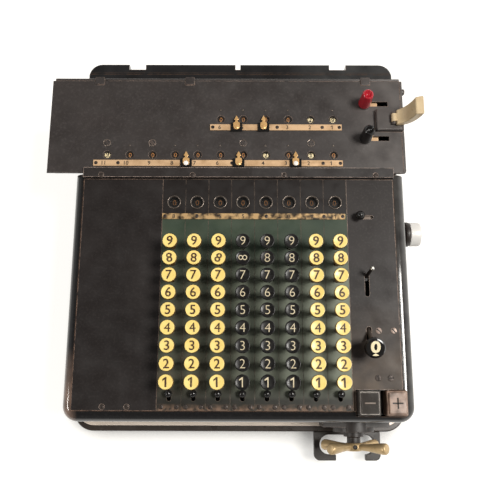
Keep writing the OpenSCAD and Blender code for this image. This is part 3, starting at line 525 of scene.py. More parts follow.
def wearKey():
    # key whose black has been rubbed off to a brown ground
    material, tree, shader = startMaterial("key_worn", (0.2, 0.15, 0.12), 0.34)
    rub = fit(tree, noise(tree, 130, 7), 0.38, 0.66, 0, 1)
    link(tree, mixColor(tree, rub, (0.32, 0.21, 0.155), (0.1, 0.06, 0.04)), shader.inputs["Base Color"])
    link(tree, fit(tree, noise(tree, 260, 4), 0.3, 0.7, 0.26, 0.5), shader.inputs["Roughness"])
    bumpFrom(tree, shader, noise(tree, 500, 4), 0.25, 0.06)
    return material


wornKey = wearKey()

finishes = {
    "rubber_feet": rubber, "left_panel": panelBlack, "right_panel": rightBlack, "column_plates": plateGreen,
    "keyboard_strip": stripWorn, "window_glasses": glass, "deck_rails": innerSteel,
    "inner_frame": innerSteel, "motor": motorIron, "drum_shaft": innerSteel,
    "stepped_drums": innerSteel, "motor_pinion": innerSteel, "check_dials": dialBlack,
    "carriage_bed": innerSteel, "carriage_rack": innerSteel, "counter_strip": stripBrass,
    "result_strip": stripBrass, "shift_shaft": shaftBronze, "result_dials": dialBlack,
    "counter_dials": dialBlack,
}
for node, material in finishes.items():
    nodes[node].data.materials.clear()
    nodes[node].data.materials.append(material)
print("materials ready")

# casing: enamelled shell with a rounded shoulder, a rear deck and a notched lip
casingShape = {"cornerRadius": 12, "shoulderRadius": 8, "deckCorner": 2.5, "deckEdge": 1.5, "wall": 3,
               "stepBehindRail": 3.8, "overlap": 3.6, "lip": 8, "lipHeight": 10, "lipGap": 2,
               "roof": 5, "panelSeat": 6, "keySeat": 7, "keyPlay": 0.6, "wheelPlay": 1.5,
               "wheelRoom": (5, 10), "reach": 40, "notchDepth": 5.5, "notchHeight": 15,
               "notches": ((0.16, 15), (0.492, 4.5), (0.8215, 15))}
past = 1 * mm  # cutters reach past what they cut by this much


def casingBlock(low, high, corner, top, openRear=False):
    # box with round upright corners and a round rim; an open rear keeps its edges sharp
    low, high = Vector(low), Vector(high)
    size = high - low
    bm = cube(size)

    def sharp(edge):
        return openRear and min(v.co.y for v in edge.verts) > size.y / 2 - weld

    upright = [e for e in bm.edges if abs(e.verts[0].co.z - e.verts[1].co.z) > size.z / 2 and not sharp(e)]
    roundEdges(bm, upright, corner, 10)
    ring = [e for e in bm.edges if min(v.co.z for v in e.verts) > size.z / 2 - weld and not sharp(e)]
    roundEdges(bm, ring, top, 8)
    bmesh.ops.translate(bm, vec=(low + high) / 2, verts=bm.verts)
    return meshFrom(bm)


def makeCasing():
    shape = casingShape
    low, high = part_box("casing")
    panel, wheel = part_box("left_panel"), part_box("shift_shaft")
    minus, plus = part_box("minus_key"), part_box("plus_key")
    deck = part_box("deck_rails")[0].z
    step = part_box("front_rail")[0].y + shape["stepBehindRail"] * mm
    lipFront = high.y - shape["lip"] * mm
    wall, keyPlay, wheelPlay = shape["wall"] * mm, shape["keyPlay"] * mm, shape["wheelPlay"] * mm
    wheelFront, wheelBack = [y * mm for y in shape["wheelRoom"]]
    upper = casingBlock(low, (high.x, step, high.z), shape["cornerRadius"], shape["shoulderRadius"], True)
    upper = subtract(upper, [
        boxCutter((low.x + wall + past, low.y + wall + past, low.z - past),
                  (high.x - wall - past, step - wall, plateTop - shape["roof"] * mm)),
        boxCutter((panelLeft, panel[0].y - panelGap, plateTop - shape["panelSeat"] * mm),
                  (panelRight, panel[1].y + panelGap, high.z + past)),
        boxCutter((minus[0].x - keyPlay, minus[0].y - keyPlay, plateTop - shape["keySeat"] * mm),
                  (plus[1].x + keyPlay, minus[1].y + keyPlay, high.z + past))])
    lower = casingBlock((low.x, step - shape["overlap"] * mm, low.z), (high.x, lipFront, deck),
                        shape["deckCorner"], shape["deckEdge"])
    inside = boxCutter((low.x + wall, step - shape["reach"] * mm, low.z - past),
                       (high.x - wall, lipFront - wall, deck - wall))
    lower = subtract(lower, [inside])
    wheelSlot = boxCutter((wheel[0].x - wheelPlay, step - wheelFront, deck - shape["roof"] * mm),
                          (wheel[1].x + wheelPlay, resultY + wheelBack, deck + past))
    lower = subtract(lower, [wheelSlot])
    rim = casingBlock((low.x, step + shape["lipGap"] * mm, deck - shape["lipHeight"] * mm),
                      (high.x, high.y, deck), shape["cornerRadius"], shape["deckEdge"])
    notchFoot = deck - shape["notchHeight"] * mm
    gaps = []
    for share, width in shape["notches"]:
        x = low.x + share * (high.x - low.x)
        gaps.append(boxCutter((x - width / 2 * mm, high.y - shape["notchDepth"] * mm, notchFoot),
                              (x + width / 2 * mm, high.y + past, deck + past)))
    gaps.append(boxCutter((low.x - past, step, notchFoot),
                          (high.x + past, lipFront - shape["lipGap"] * mm, deck + past)))
    bm = bmesh.new()
    for mesh in (upper, lower, subtract(rim, gaps)):
        bm.from_mesh(mesh)
    bmesh.ops.remove_doubles(bm, verts=bm.verts, dist=weld)
    piece("casing_shell", bm, enamel, "machine", ["casing"], 40)


makeCasing()

# pieces of the body that only need their edges broken: width, finish and slot
brokenEdges = {"base_plate": (1.2, baseBlack, "enamel"), "foot_moulding": (0.8, paleNickelPaintedSheen, "nickel"),
               "front_rail": (0.4, railBlack, "panel_black"), "handle_guard": (0.8, fittingBlack, "enamel"),
               "shift_bearing": (0.8, fittingBlack, "enamel")}
for node, (width, material, slotName) in brokenEdges.items():
    piece(node + "_dressed", softened(node, width), material, "machine", [node], 40)
print("casing and base made")

# keys: dished caps with a rim, numbers on top
keyShape = {"capHeight": 5.0, "dish": 0.35, "stem": 2.0, "stemEnd": 49, "digitSize": 10.2, "sunk": 0.02,
            "ivoryBold": 0.009, "blackBold": -0.016, "sway": 0.4,
            "turned": {(4, 8): 90, (3, 8): -25, (1, 8): 10, (1, 1): 0.4, (2, 4): 5}}


def keyMeshes():
    # ivory top, black top, and the side with its stem, measured from the top of the key
    r, h, stem, dish = keyRadius / mm, keyShape["capHeight"], keyShape["stem"], keyShape["dish"]
    seat = [(r - 0.35, -0.5), (r - 0.35, 0)]
    top = seat + [(r - 0.7, 0.08), (r * 0.55, -dish * 0.7), (0, -dish)]
    darkTop = seat + [(r - 0.6, 0.14), (r - 0.8, 0.1), (r - 1.7, -0.24), (r * 0.4, -0.3), (0, -0.3)]
    side = [(stem, -keyShape["stemEnd"]), (stem, -h - 6), (stem + 0.9, -h - 4), (r - 2.2, -h - 0.4),
            (r - 0.5, -h + 0.4), (r, -h + 1.4), (r, -0.9), (r - 0.15, -0.35), (r - 0.4, -0.12),
            (r - 0.4, -0.6), (0, -0.7)]
    return [lathe(profile, 44) for profile in (top, darkTop, side)]


def makeKeys():
    top, darkTop, side = keyMeshes()
    size = keyShape["digitSize"]
    # a bold four would close up
    brownDigits = [words(str(n), size, 0.0 if n == 4 else keyShape["ivoryBold"]) for n in range(1, 10)]
    whiteDigits = [words(str(n), size, keyShape["blackBold"]) for n in range(1, 10)]
    for c, x in enumerate(columnX, 1):
        dark = 4 <= c <= 6
        digits = whiteDigits if dark else brownDigits
        caps, sides, numbers = bmesh.new(), bmesh.new(), bmesh.new()
        for n, y in enumerate(rowY, 1):
            place = at(x, y, keyTop)
            angle = keyShape["turned"].get((c, n), keyShape["sway"] * ((c * 7 + n * 5) % 9 - 4))
            stamp(caps, darkTop if dark else top, place)
            stamp(sides, side, place)
            stamp(numbers, digits[n - 1], place @ at(0, 0, -keyShape["sunk"] * mm) @ turn(angle, "Z"))
        body = f"keys_column_{c}"
        piece(f"key_sides_{c}", sides, keyBlack if dark else ivoryShadedSide, body, [body])
        piece(f"key_tops_{c}", caps, keyTopBlack if dark else ivory, body, sharp=50)
        piece(f"key_numbers_{c}", numbers, digitWhite if dark else digitBrown, body)


makeKeys()
print("keys made")

# column clear buttons
buttonShape = {"profile": [(0, 7.4), (0.9, 7.3), (2.0, 6.8), (2.75, 5.9), (3.0, 4.8), (2.7, 3.4),
                           (1.9, 2.4), (1.5, 1.8), (1.5, -9), (0, -9)]}


def makeButtons():
    mesh = lathe(buttonShape["profile"], 28)
    for c in range(1, 9):
        node = f"clear_button_{c}"
        spot = middle(node)
        bm = bmesh.new()
        stamp(bm, mesh, at(spot.x, spot.y, plateTop))
        piece(f"button_{c}", bm, keyBlack, node, [node], 60)


makeButtons()

# screws: low domed heads with a slot
screwShape = {"radius": 1.9, "height": 0.55, "turns": (12, 65, 110, 155), "besideColumn": 6,
              "fromLeft": (24, 43), "railEnd": 15, "railFront": 1.8, "rimRadius": 2.0, "rimHeight": 0.3,
              "largeRadius": 2.5, "largeHeight": 0.35, "largeTurns": (48, 40, 8, 95),
              "largeSlot": (0.9, 4.6, 0.2), "upperFromRight": (16.8, 4.9),
              "lowerFromRight": (18.7, 9), "lowerBehindRow": 3.7}


def screwMesh(radius, height, angle):
    head = lathe([(0, height), (radius * 0.6, height * 0.92), (radius * 0.92, height * 0.6), (radius, 0),
                  (radius * 0.9, -0.3), (0, -0.3)], 24)
    slotCut = boxCutter((-radius * 0.2 * mm, -2 * radius * mm, height * 0.1 * mm),
                        (radius * 0.2 * mm, 2 * radius * mm, 2 * height * mm))
    slotCut.transform(turn(angle, "Z"))
    return subtract(head, [slotCut])


def rimMesh(inner, height, steps):
    # low ring round a screw head
    outer = inner + 0.35
    return lathe([(inner, 0), (inner, height - 0.05), (inner + 0.2, height), (outer, height - 0.1),
                  (outer, 0), (inner, 0)], steps)


def makeScrews():
    shape = screwShape
    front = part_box("panel_screws")[0].y + shape["radius"] * mm
    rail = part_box("front_rail")
    railY = rail[0].y + shape["railFront"] * mm
    railLeft = panelLeft + shape["railEnd"] * mm
    railRun = panelRight - panelLeft - 2 * shape["railEnd"] * mm
    lowerY = rowY[0] + shape["lowerBehindRow"] * mm
    plain = [(x + side * shape["besideColumn"] * mm, front, plateTop) for x in columnX for side in (-1, 1)]
    rimmed = [(panelLeft + x * mm, front, plateTop) for x in shape["fromLeft"]]
    rimmed += [(railLeft + k * railRun / 3, railY, rail[1].z) for k in range(4)]
    large = [(panelRight - x * mm, rowY[3], plateTop) for x in shape["upperFromRight"]]
    large += [(panelRight - x * mm, lowerY, plateTop) for x in shape["lowerFromRight"]]
    dark, bright, slots = bmesh.new(), bmesh.new(), bmesh.new()
    heads = [screwMesh(shape["radius"], shape["height"], angle) for angle in shape["turns"]]
    for k, place in enumerate(plain + rimmed):
        stamp(dark, heads[k % len(heads)], at(*place))
    bar = roundedBox(shape["largeSlot"], 0.05, 1)
    for k, (place, angle) in enumerate(zip(large, shape["largeTurns"])):
        head = screwMesh(shape["largeRadius"], shape["largeHeight"], angle)
        stamp(bright if k < 2 else dark, head, at(*place))
        stamp(slots, bar, at(*place) @ turn(angle, "Z"))
    rim = rimMesh(shape["rimRadius"], shape["rimHeight"], 24)
    for place in rimmed:
        stamp(bright, rim, at(*place))
    piece("panel_screw_heads", dark, screwDark, "machine", ["panel_screws"], 30)
    piece("large_screw_heads", bright, screwSteel, "machine", sharp=30)
    piece("large_screw_slots", slots, digitBlack, "machine")


makeScrews()
print("buttons and screws made")

# carriage cover: folded sheet box with windows, slots and the lever box
coverShape = {"edge": 0.7, "corner": 2.4, "sheet": 1.5, "leftPast": 0.8, "skirt": 2, "seam": 2.2,
              "seamWidth": 0.3, "seamDepth": 0.5, "windowRadius": 2.9, "sink": (-0.4, 0.8),
              "sinkDepth": 1.3, "slotHalf": 2.1,
              "slotLength": 20, "cutDepth": 3, "boxFromRight": (24, 1), "boxGap": 0.7, "boxEdge": 1.0,
              "ear": [(-1.9, -3.2), (1.2, -3.2), (1.5, -0.6), (1.1, 0.3), (0, 0.6), (-1.1, 0.3),
                      (-1.9, -0.6)],
              "earWidth": 1.6, "ears": (-3.7, 5.3),
              "pin": [(0, 0), (0.9, 0), (1.1, 0.3), (1.1, 10.5), (0.9, 10.8), (0, 10.8)],
              "pinStart": -5.4, "rodEnd": 2, "lug": (8, 7, 2), "lugs": (0.135, 0.393, 0.895)}


def coverSheet(low, high, bed):
    # the sheet with its windows, the seam at its right end and the slots of the clear knobs
    shape = coverShape
    bottom = bed[0].z + shape["skirt"] * mm
    sheet, radius, half = shape["sheet"] * mm, shape["windowRadius"] * mm, shape["slotHalf"] * mm
    cutFoot = coverTop - shape["cutDepth"] * mm
    sinkFoot = coverTop - shape["sinkDepth"] * mm
    narrow, wide = [radius + change * mm for change in shape["sink"]]
    box = cube(Vector((high.x - low.x, high.y - low.y, coverTop - bottom)))
    roundEdges(box, [e for e in box.edges if all(v.co.x > 0 > v.co.y for v in e.verts)], shape["corner"], 5)
    roundEdges(box, [e for e in box.edges if min(v.co.z for v in e.verts) > 0], shape["edge"], 3)
    shell = meshFrom(box)
    shell.transform(at((low.x + high.x) / 2, (low.y + high.y) / 2, (bottom + coverTop) / 2))
    cuts = [boxCutter((low.x - past, low.y - past, bottom - past),
                      (high.x + past, bed[0].y, coverTop - sheet)),
            boxCutter((low.x + sheet, bed[0].y + sheet, bottom - 1.1 * past),
                      (high.x - sheet, high.y - sheet, coverTop - sheet))]
    for xs, y in registers:
        cuts += [rodCutter(x, y, cutFoot, coverTop + past, radius) for x in xs]
        cuts += [rodCutter(x, y, sinkFoot, coverTop + 0.3 * mm, narrow, wide) for x in xs]
    seam = high.x - shape["seam"] * mm
    seamLeft = seam - shape["seamWidth"] * mm
    seamFoot = coverTop - shape["seamDepth"] * mm
    cuts.append(boxCutter((seamLeft, low.y - past, seamFoot), (seam, high.y + past, coverTop + past)))
    for node in ("counter_clear_knob", "result_clear_knob"):
        spot = middle(node)
        cuts.append(boxCutter((spot.x - half, spot.y - half, cutFoot),
                              (spot.x + shape["slotLength"] * mm, spot.y + half, coverTop + past)))
    return subtract(shell, cuts)


def makeCover():
    shape = coverShape
    low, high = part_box("carriage_cover")
    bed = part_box("carriage_bed")
    low.x -= shape["leftPast"] * mm
    high.y = bed[1].y
    bm = bmesh.new()
    bm.from_mesh(coverSheet(low, high, bed))
    # lever box with two ears for the lever's pin
    pivot = pivotOf("lift_lever")
    left, right = [high.x - x * mm for x in shape["boxFromRight"]]
    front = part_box("result_clear_knob")[1].y + shape["boxGap"] * mm
    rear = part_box("counter_clear_knob")[0].y - shape["boxGap"] * mm
    boxLow = Vector((left, front, coverTop - 0.5 * mm))
    boxHigh = Vector((right, rear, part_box("thumb_lever")[0].z - 0.3 * mm))
    house = roundedBox([s / mm for s in boxHigh - boxLow], shape["boxEdge"], 3, upperEdge)
    stamp(bm, house, at(*((boxLow + boxHigh) / 2)))
    ear = prism(shape["ear"], shape["earWidth"], 0.3)
    for y in shape["ears"]:
        stamp(bm, ear, at(pivot.x, pivot.y + y * mm, pivot.z) @ turn(90, "X"))
    stamp(bm, lathe(shape["pin"], 16),
          at(pivot.x, pivot.y + shape["pinStart"] * mm, pivot.z) @ turn(-90, "X"))
    # rolled rod along the rear edge and the three lugs over it
    length = (high.x - low.x) / mm - 2 * shape["rodEnd"]
    rod = lathe([(0, 0), (1.2, 0), (1.5, 0.3), (1.5, length - 0.3), (1.2, length), (0, length)], 20)
    stamp(bm, rod, at(low.x + shape["rodEnd"] * mm, high.y + 1.2 * mm, coverTop - 2 * mm) @ turn(90, "Y"))
    lug = roundedBox(shape["lug"], 0.6, 2)
    for share in shape["lugs"]:
        stamp(bm, lug, at(low.x + share * (high.x - low.x), high.y - 0.5 * mm, coverTop))
    piece("carriage_shell", bm, coverBlack, "carriage", ["carriage_cover"], 30)


makeCover()

# small studs behind the windows, sunk screws, the screw in the right end and dark window sleeves, which
# paint in the shade round the register windows
studShape = {"radius": 0.85, "behind": 8.2, "left": 0.4, "screwRadius": 3.0,
             "screws": (-124, -86, -9.5, 47.5), "screwsBehind": 10.5,
             "endScrew": [(0, 3.2), (2.2, 3.0), (2.8, 2.2), (2.8, 0), (0, 0)],
             "endScrewPlace": (7.5, 6)}


def makeStuds():
    shape = studShape
    r = coverShape["windowRadius"]
    stud = lathe([(0, 0.8), (0.4, 0.7), (shape["radius"], 0.2), (shape["radius"], -0.2), (0, -0.2)], 16)
    # dark sleeve in a register window: painted shade that covers the lit rim of its sunk edge
    sleeve = lathe([(r - 0.5, -1.4), (r - 0.1, -0.8), (r + 0.7, -0.02), (r + 0.9, 0.03), (r + 0.75, -0.3),
                    (r - 0.05, -1.2), (r - 0.5, -1.4)], 32)
    studs, sleeves, screws, rims = bmesh.new(), bmesh.new(), bmesh.new(), bmesh.new()
    for xs, y in registers:
        for x in xs:
            stamp(studs, stud, at(x - shape["left"] * mm, y + shape["behind"] * mm, coverTop))
            stamp(sleeves, sleeve, at(x, y, coverTop))
    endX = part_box("carriage_cover")[1].x
    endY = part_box("carriage_bed")[1].y
    forward, down = [d * mm for d in shape["endScrewPlace"]]
    stamp(screws, lathe(shape["endScrew"], 20), at(endX, endY - forward, coverTop - down) @ turn(90, "Y"))
    flush = screwMesh(shape["screwRadius"], 0.12, 40)
    rim = rimMesh(shape["screwRadius"] - 0.1, 0.25, 32)
    for x in shape["screws"]:
        place = at(middleX + x * mm, resultY + shape["screwsBehind"] * mm, coverTop + 0.02 * mm)
        stamp(screws, flush, place)
        stamp(rims, rim, place)
    piece("cover_studs", studs, darkNickel, "carriage")
    piece("cover_screws", screws, coverBlack, "carriage")
    piece("cover_screw_rims", rims, darkNickel, "carriage")
    piece("register_window_painted_shade", sleeves, dialBlack, "carriage")


makeStuds()
print("carriage cover made")

# number strips: printed numbers, dark screws at the ends and between
stripShape = {"size": 4.8, "lift": 0.05, "screwRadius": 1.5, "screwHeight": 0.3, "ends": (2.2, 2.0),
              "besideNumber": 9.6}


def dressStrip(node, xs, body, screwPlaces, shift=0.0):
    shape = stripShape
    low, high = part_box(node)
    y = (low.y + high.y) / 2
    ink, heads = bmesh.new(), bmesh.new()
    for n, x in enumerate(xs, 1):
        stamp(ink, words(str(n), shape["size"]), at(x + shift * mm, y, high.z + shape["lift"] * mm))
    screwX = [low.x + shape["ends"][0] * mm, high.x - shape["ends"][1] * mm]
    screwX += [x + shape["besideNumber"] * mm for x in screwPlaces]
    for k, x in enumerate(screwX):
        stamp(heads, screwMesh(shape["screwRadius"], shape["screwHeight"], 30 + 40 * k), at(x, y, high.z))
    piece(node + "_numbers", ink, digitBlack, body)
    piece(node + "_screws", heads, screwDark, body)


dressStrip("keyboard_strip", columnX[::-1], "machine",
           (columnX[1] - pitch / 2, columnX[4] - pitch / 2, columnX[6]))
dressStrip("result_strip", resultX, "carriage", (resultX[1], resultX[5], resultX[10]), -2.5)
dressStrip("counter_strip", counterX, "carriage", (counterX[1], counterX[3]), -1.0)

# number drums: ten digits round each drum, the shown one on top
drumShape = {"registerSize": 5.4, "checkSize": 6.4, "band": 7.5, "lean": -3, "checkLean": -2, "step": 36,
             "resultShown": "01020000009", "counterShown": "920000", "checkShown": "00000000"}


def paleSector(radius, band):
    # band round nine tenths of a drum
    step = drumShape["step"]
    bm = bmesh.new()
    strip = [bm.verts.new((x * mm, 0, radius + 0.03 * mm)) for x in (-band / 2, band / 2)]
    edge = bm.edges.new(strip)
    bmesh.ops.spin(bm, geom=strip + [edge], cent=(0, 0, 0), axis=(1, 0, 0), angle=math.radians(9 * step),
                   steps=27)
    half = Matrix.Rotation(math.radians(step / 2), 3, "X")
    bmesh.ops.rotate(bm, cent=(0, 0, 0), matrix=half, verts=bm.verts)
    return meshFrom(bm)


def dressDrums(name, node, xs, shown, size, lean, band=0.0):
    # a pale band with black digits from one to nine, and a dark sector with an orange nought
    spot = middle(node)
    low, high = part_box(node)
    radius = (high.z - low.z) / 2
    glyphs = [words(str(n), size, 0.01) for n in range(10)]
    sector = paleSector(radius, band) if band else None
    ink, noughts, pale = bmesh.new(), bmesh.new(), bmesh.new()
    for x, first in zip(xs, shown):
        drum = at(x, spot.y, spot.z) @ turn(lean - drumShape["step"] * int(first), "X")
        if band:
            stamp(pale, sector, drum)
        for n, glyph in enumerate(glyphs):
            place = drum @ turn(drumShape["step"] * n, "X") @ at(0, 0, radius + 0.06 * mm)
            stamp(ink if n and band else noughts, glyph, place)
    if band:
        piece(name + "_band", pale, drumCream, node)
        piece(name + "_digits", ink, digitBlack, node)
    piece(name + "_noughts", noughts, digitOrange, node)


for register, xs in (("result", resultX), ("counter", counterX)):
    dressDrums(register + "_drum", register + "_dials", xs, drumShape[register + "Shown"],
               drumShape["registerSize"], drumShape["lean"], drumShape["band"])
dressDrums("check_drum", "check_dials", columnX, drumShape["checkShown"], drumShape["checkSize"],
           drumShape["checkLean"])
print("numbers made")

# decimal markers: black saddle with a brass pointer riveted on it, whose right half is given
markerShape = {"saddle": 7.4, "past": 0.8, "saddleHeight": (1.1, 1.9), "leg": (0.8, 1.4), "legs": (0.4, 7.0),
               "half": [(1.9, -5.2), (2.7, -3.2), (2.8, -0.6), (2.5, 0.6), (1.1, 1.2), (1.0, 2.4),
                        (2.1, 3.0), (1.1, 5.0)],
               "tip": 7.0, "thick": 0.7, "pointerPlace": (6.6, 2.4), "rivetPlace": (3.0, 3.0),
               "rivet": [(0, 0.6), (1.1, 0.55), (1.7, 0.35), (2.0, 0.05), (2.0, -0.2), (0, -0.2)],
               "bright": ("result_marker_1", "result_marker_3")}


def makeMarkers():
    shape = markerShape
    left = [(-x, y) for x, y in reversed(shape["half"])]
    outline = left[-1:] + shape["half"] + [(0, shape["tip"])] + left[:-1]
    thick, height = shape["saddleHeight"]
    legWidth, legHeight = shape["leg"]
    for node in ("counter_marker_1", "counter_marker_2", "result_marker_1", "result_marker_2",
                 "result_marker_3"):
        low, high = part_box(node)
        x = (low.x + high.x) / 2
        width = (high.x - low.x) / mm + shape["past"]

        def above(place):
            return at(x, low.y + place[0] * mm, coverTop + place[1] * mm)

        saddle, pointer, rivet = bmesh.new(), bmesh.new(), bmesh.new()
        stamp(saddle, roundedBox((width, shape["saddle"], thick), 0.45, 3),
              above((shape["saddle"] / 2, height)))
        for y in shape["legs"]:
            stamp(saddle, roundedBox((width, legWidth, legHeight), 0.2, 2), above((y, 1.0)))
        stamp(pointer, prism(outline, shape["thick"], 0.25), above(shape["pointerPlace"]))
        stamp(rivet, lathe(shape["rivet"], 28), above(shape["rivetPlace"]))
        # the markers listed as bright get pale nickel rivets: a painted highlight on their domes
        bright = node in shape["bright"]
        piece(node + "_saddle", saddle, keyBlack, node, [node])
        piece(node + "_pointer", pointer, markerBrass, node)
        piece(node + "_rivet", rivet, nickelPaintedGlint if bright else markerBrass, node)


makeMarkers()

# clear knobs with a dished top, and the brass slides in their slots
knobShape = {"profile": [(0, 16.6), (1.6, 16.8), (2.4, 17.8), (2.9, 18.7), (3.5, 19.0), (4.2, 18.6),
                         (4.6, 17.4), (4.9, 11), (5.2, 3.4), (5.25, 1.4), (4.8, 0.5), (0, 0.4)],
             "stem": [(0, 0.6), (1.75, 0.6), (1.75, -9), (0, -9)], "tongue": (12.5, 3.4, 0.8),
             "tongueRight": 5, "underSheet": 0.5}


def makeKnobs():
    grip, stem = lathe(knobShape["profile"], 44), lathe(knobShape["stem"], 20)
    slide = roundedBox(knobShape["tongue"], 0.25, 2)
    depth = coverShape["sheet"] + knobShape["underSheet"]
    for node, material, slot in (("counter_clear_knob", redPlastic, "red_plastic"),
                                 ("result_clear_knob", keyBlack, "black_plastic")):
        spot = middle(node)
        place = at(spot.x, spot.y, coverTop)
        bm, tongue = bmesh.new(), bmesh.new()
        stamp(bm, grip, place)
        stamp(bm, stem, place)
        stamp(tongue, slide, place @ at(knobShape["tongueRight"] * mm, 0, -depth * mm))
        piece(node + "_grip", bm, material, node, [node], 50)
        piece(node + "_tongue", tongue, stripBrass, node)


makeKnobs()

# thumb lever: scooped cream lever on a tongue round the pin
thumbShape = {"under": ((0.2, 0), (0.84, 0.02), (1, 0.96)), "over": ((0.6, 1), (0.5, 0.28), (0, 0.194)),
              "edge": 1.3, "start": 1.9, "tongue": 7, "neck": (2.6, 4.0), "neckRight": 2.7,
              "taper": 0.8, "skew": 3.0}


def arc(points, count=9):
    # points along a curve with one control point
    a, b, c = [Vector(p) for p in points]
    return [a.lerp(b, k / count).lerp(b.lerp(c, k / count), k / count) for k in range(count + 1)]


def makeThumb():
    shape = thumbShape
    low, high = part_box("thumb_lever")
    pivot = pivotOf("lift_lever")
    start = pivot.x + shape["start"] * mm
    length, height = (high.x - start) / mm, (high.z - low.z) / mm
    outline = [(0, 0)] + [(p.x * length, p.y * height) for p in arc(shape["under"]) + arc(shape["over"])]
    grip = prism(outline, (high.y - low.y) / mm, shape["edge"], 3)
    grip.transform(at(start, high.y, low.z) @ turn(90, "X"))
    for vert in grip.vertices:
        out = (vert.co.x - start) / mm / length
        share = shape["taper"] + (1 - shape["taper"]) * min(1, out)
        vert.co.y = pivot.y + (vert.co.y - pivot.y) * share + shape["skew"] * mm * max(0, out)
    bm = bmesh.new()
    bm.from_mesh(grip)
    half = shape["tongue"] / 2
    knuckle = lathe([(1.25, -half), (1.9, -half), (2.2, 0.3 - half), (2.2, half - 0.3), (1.9, half),
                     (1.25, half), (1.25, -half)], 32)
    stamp(bm, knuckle, at(*pivot) @ turn(90, "X"))
    neck = roundedBox((shape["neck"][0], shape["tongue"], shape["neck"][1]), 0.3, 2)
    stamp(bm, neck, at(pivot.x + shape["neckRight"] * mm, pivot.y, pivot.z))
    piece("thumb_grip", bm, creamPlastic, "thumb_lever", ["thumb_lever"], 40)


makeThumb()
print("markers, knobs and lever made")

# operation keys with a sign on a raised top
signShape = {"length": 8.2, "width": 1.1, "skirt": 18, "skirtDown": 10.3, "inset": 2.8, "topThick": 3,
             "stem": [(0, 0), (2.5, 0), (2.5, -20), (0, -20)], "stemDown": 19.2}


def makeOperationKeys():
    shape = signShape
    stem = lathe(shape["stem"], 20)
    bar = roundedBox((shape["length"], shape["width"], 0.3), 0.1, 2)
    for node, material, ink, slot in (("minus_key", minusBlack, signGrey, "black_plastic"),
                                      ("plus_key", wornKey, digitBlack, "worn_key")):
        low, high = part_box(node)
        size = (high - low) / mm
        place = at((low.x + high.x) / 2, (low.y + high.y) / 2, high.z)
        skirt = roundedBox((size.x, size.y, shape["skirt"]), 1.3, 4, upperEdge)
        top = roundedBox((size.x - shape["inset"], size.y - shape["inset"], shape["topThick"]), 0.8, 4,
                         upperEdge)
        bm, sign = bmesh.new(), bmesh.new()
        stamp(bm, skirt, place @ at(0, 0, -shape["skirtDown"] * mm))
        stamp(bm, top, place @ at(0, 0, -shape["topThick"] / 2 * mm))
        stamp(bm, stem, place @ at(0, 0, -shape["stemDown"] * mm))
        for angle in (0, 90) if node == "plus_key" else (0,):
            stamp(sign, bar, place @ at(0, 0, 0.02 * mm) @ turn(angle, "Z"))
        piece(node + "_cap", bm, material, node, [node], 40)
        piece(node + "_sign", sign, ink, node)


makeOperationKeys()

# zero lever: leaning stem on a bored foot, with a round knob
zeroShape = {"lean": 35.5, "length": 46, "tilt": 12, "stemRadius": 1.8, "size": 11.5, "bold": 0.04,
             "wide": 1.25, "bore": [(2.1, -4), (4.2, -4), (4.2, 4), (2.1, 4), (2.1, -4)],
             "knob": [(0, 4.6), (5.6, 4.9), (7.0, 4.5), (7.9, 3.2), (8, 1.0), (7.2, -1.4), (4.6, -3.6),
                      (0, -4)],
             "foot": [(-2.6, 0), (0, 1.5), (2.6, 0), (0, -0.5)], "markPlace": (0.9, 4.98),
             "footPlace": (-5.4, 4.93)}


def makeZero():
    shape = zeroShape
    pivot = at(*pivotOf("pull_zero"))
    lean = pivot @ turn(shape["lean"], "X")
    head = lean @ at(0, 0, shape["length"] * mm) @ turn(shape["tilt"] - shape["lean"], "X")
    radius, end = shape["stemRadius"], shape["length"]

    def onHead(place):
        return head @ at(0, place[0] * mm, place[1] * mm)

    stem, knob, ink = bmesh.new(), bmesh.new(), bmesh.new()
    stamp(stem, lathe(shape["bore"], 24), pivot @ turn(90, "Y"))
    stamp(stem, lathe([(0, 3), (radius, 3), (radius, end), (0, end)], 20), lean)
    stamp(knob, lathe(shape["knob"], 48), head)
    nought = words("0", shape["size"], shape["bold"])
    stamp(ink, nought, onHead(shape["markPlace"]) @ Matrix.Diagonal((shape["wide"], 1, 1, 1)))
    stamp(ink, prism(shape["foot"], 0.05), onHead(shape["footPlace"]))
    piece("zero_stem", stem, darkNickel, "zero_lever", ["zero_lever"])
    piece("zero_knob", knob, keyBlack, "zero_lever")
    piece("zero_mark", ink, digitCream, "zero_lever")


makeZero()

# small levers: a round knob with a slide under its slot, and a leaning pin
leverShape = {"knob": [(0, 9.8), (1.5, 9.5), (2.7, 8.65), (3.5, 7.3), (3.8, 6.0), (3.4, 4.5), (2.3, 3.2),
                       (1.3, 2.5), (1.2, 2), (1.2, -9), (0, -9)],
              "knobBlock": (6, 6, 5.6), "slide": (20, 5, 0.4), "slidePlace": (7, 2.5),
              "tip": [(0, 16.4), (1.0, 16.15), (1.7, 15.4), (1.9, 14.4), (1.7, 13.4), (1.2, 12.7),
                      (0, 12.6)],
              "stem": [(0, 12.9), (1.25, 12.8), (1.3, 9), (1.5, 1), (1.5, 0), (0, 0)],
              "peg": [(0, 0.6), (1.2, 0.5), (1.5, 0), (1.5, -9), (0, -9)],
              "pinBlock": (8, 8, 5.6), "blockDown": 5.1, "back": 14, "right": 7}


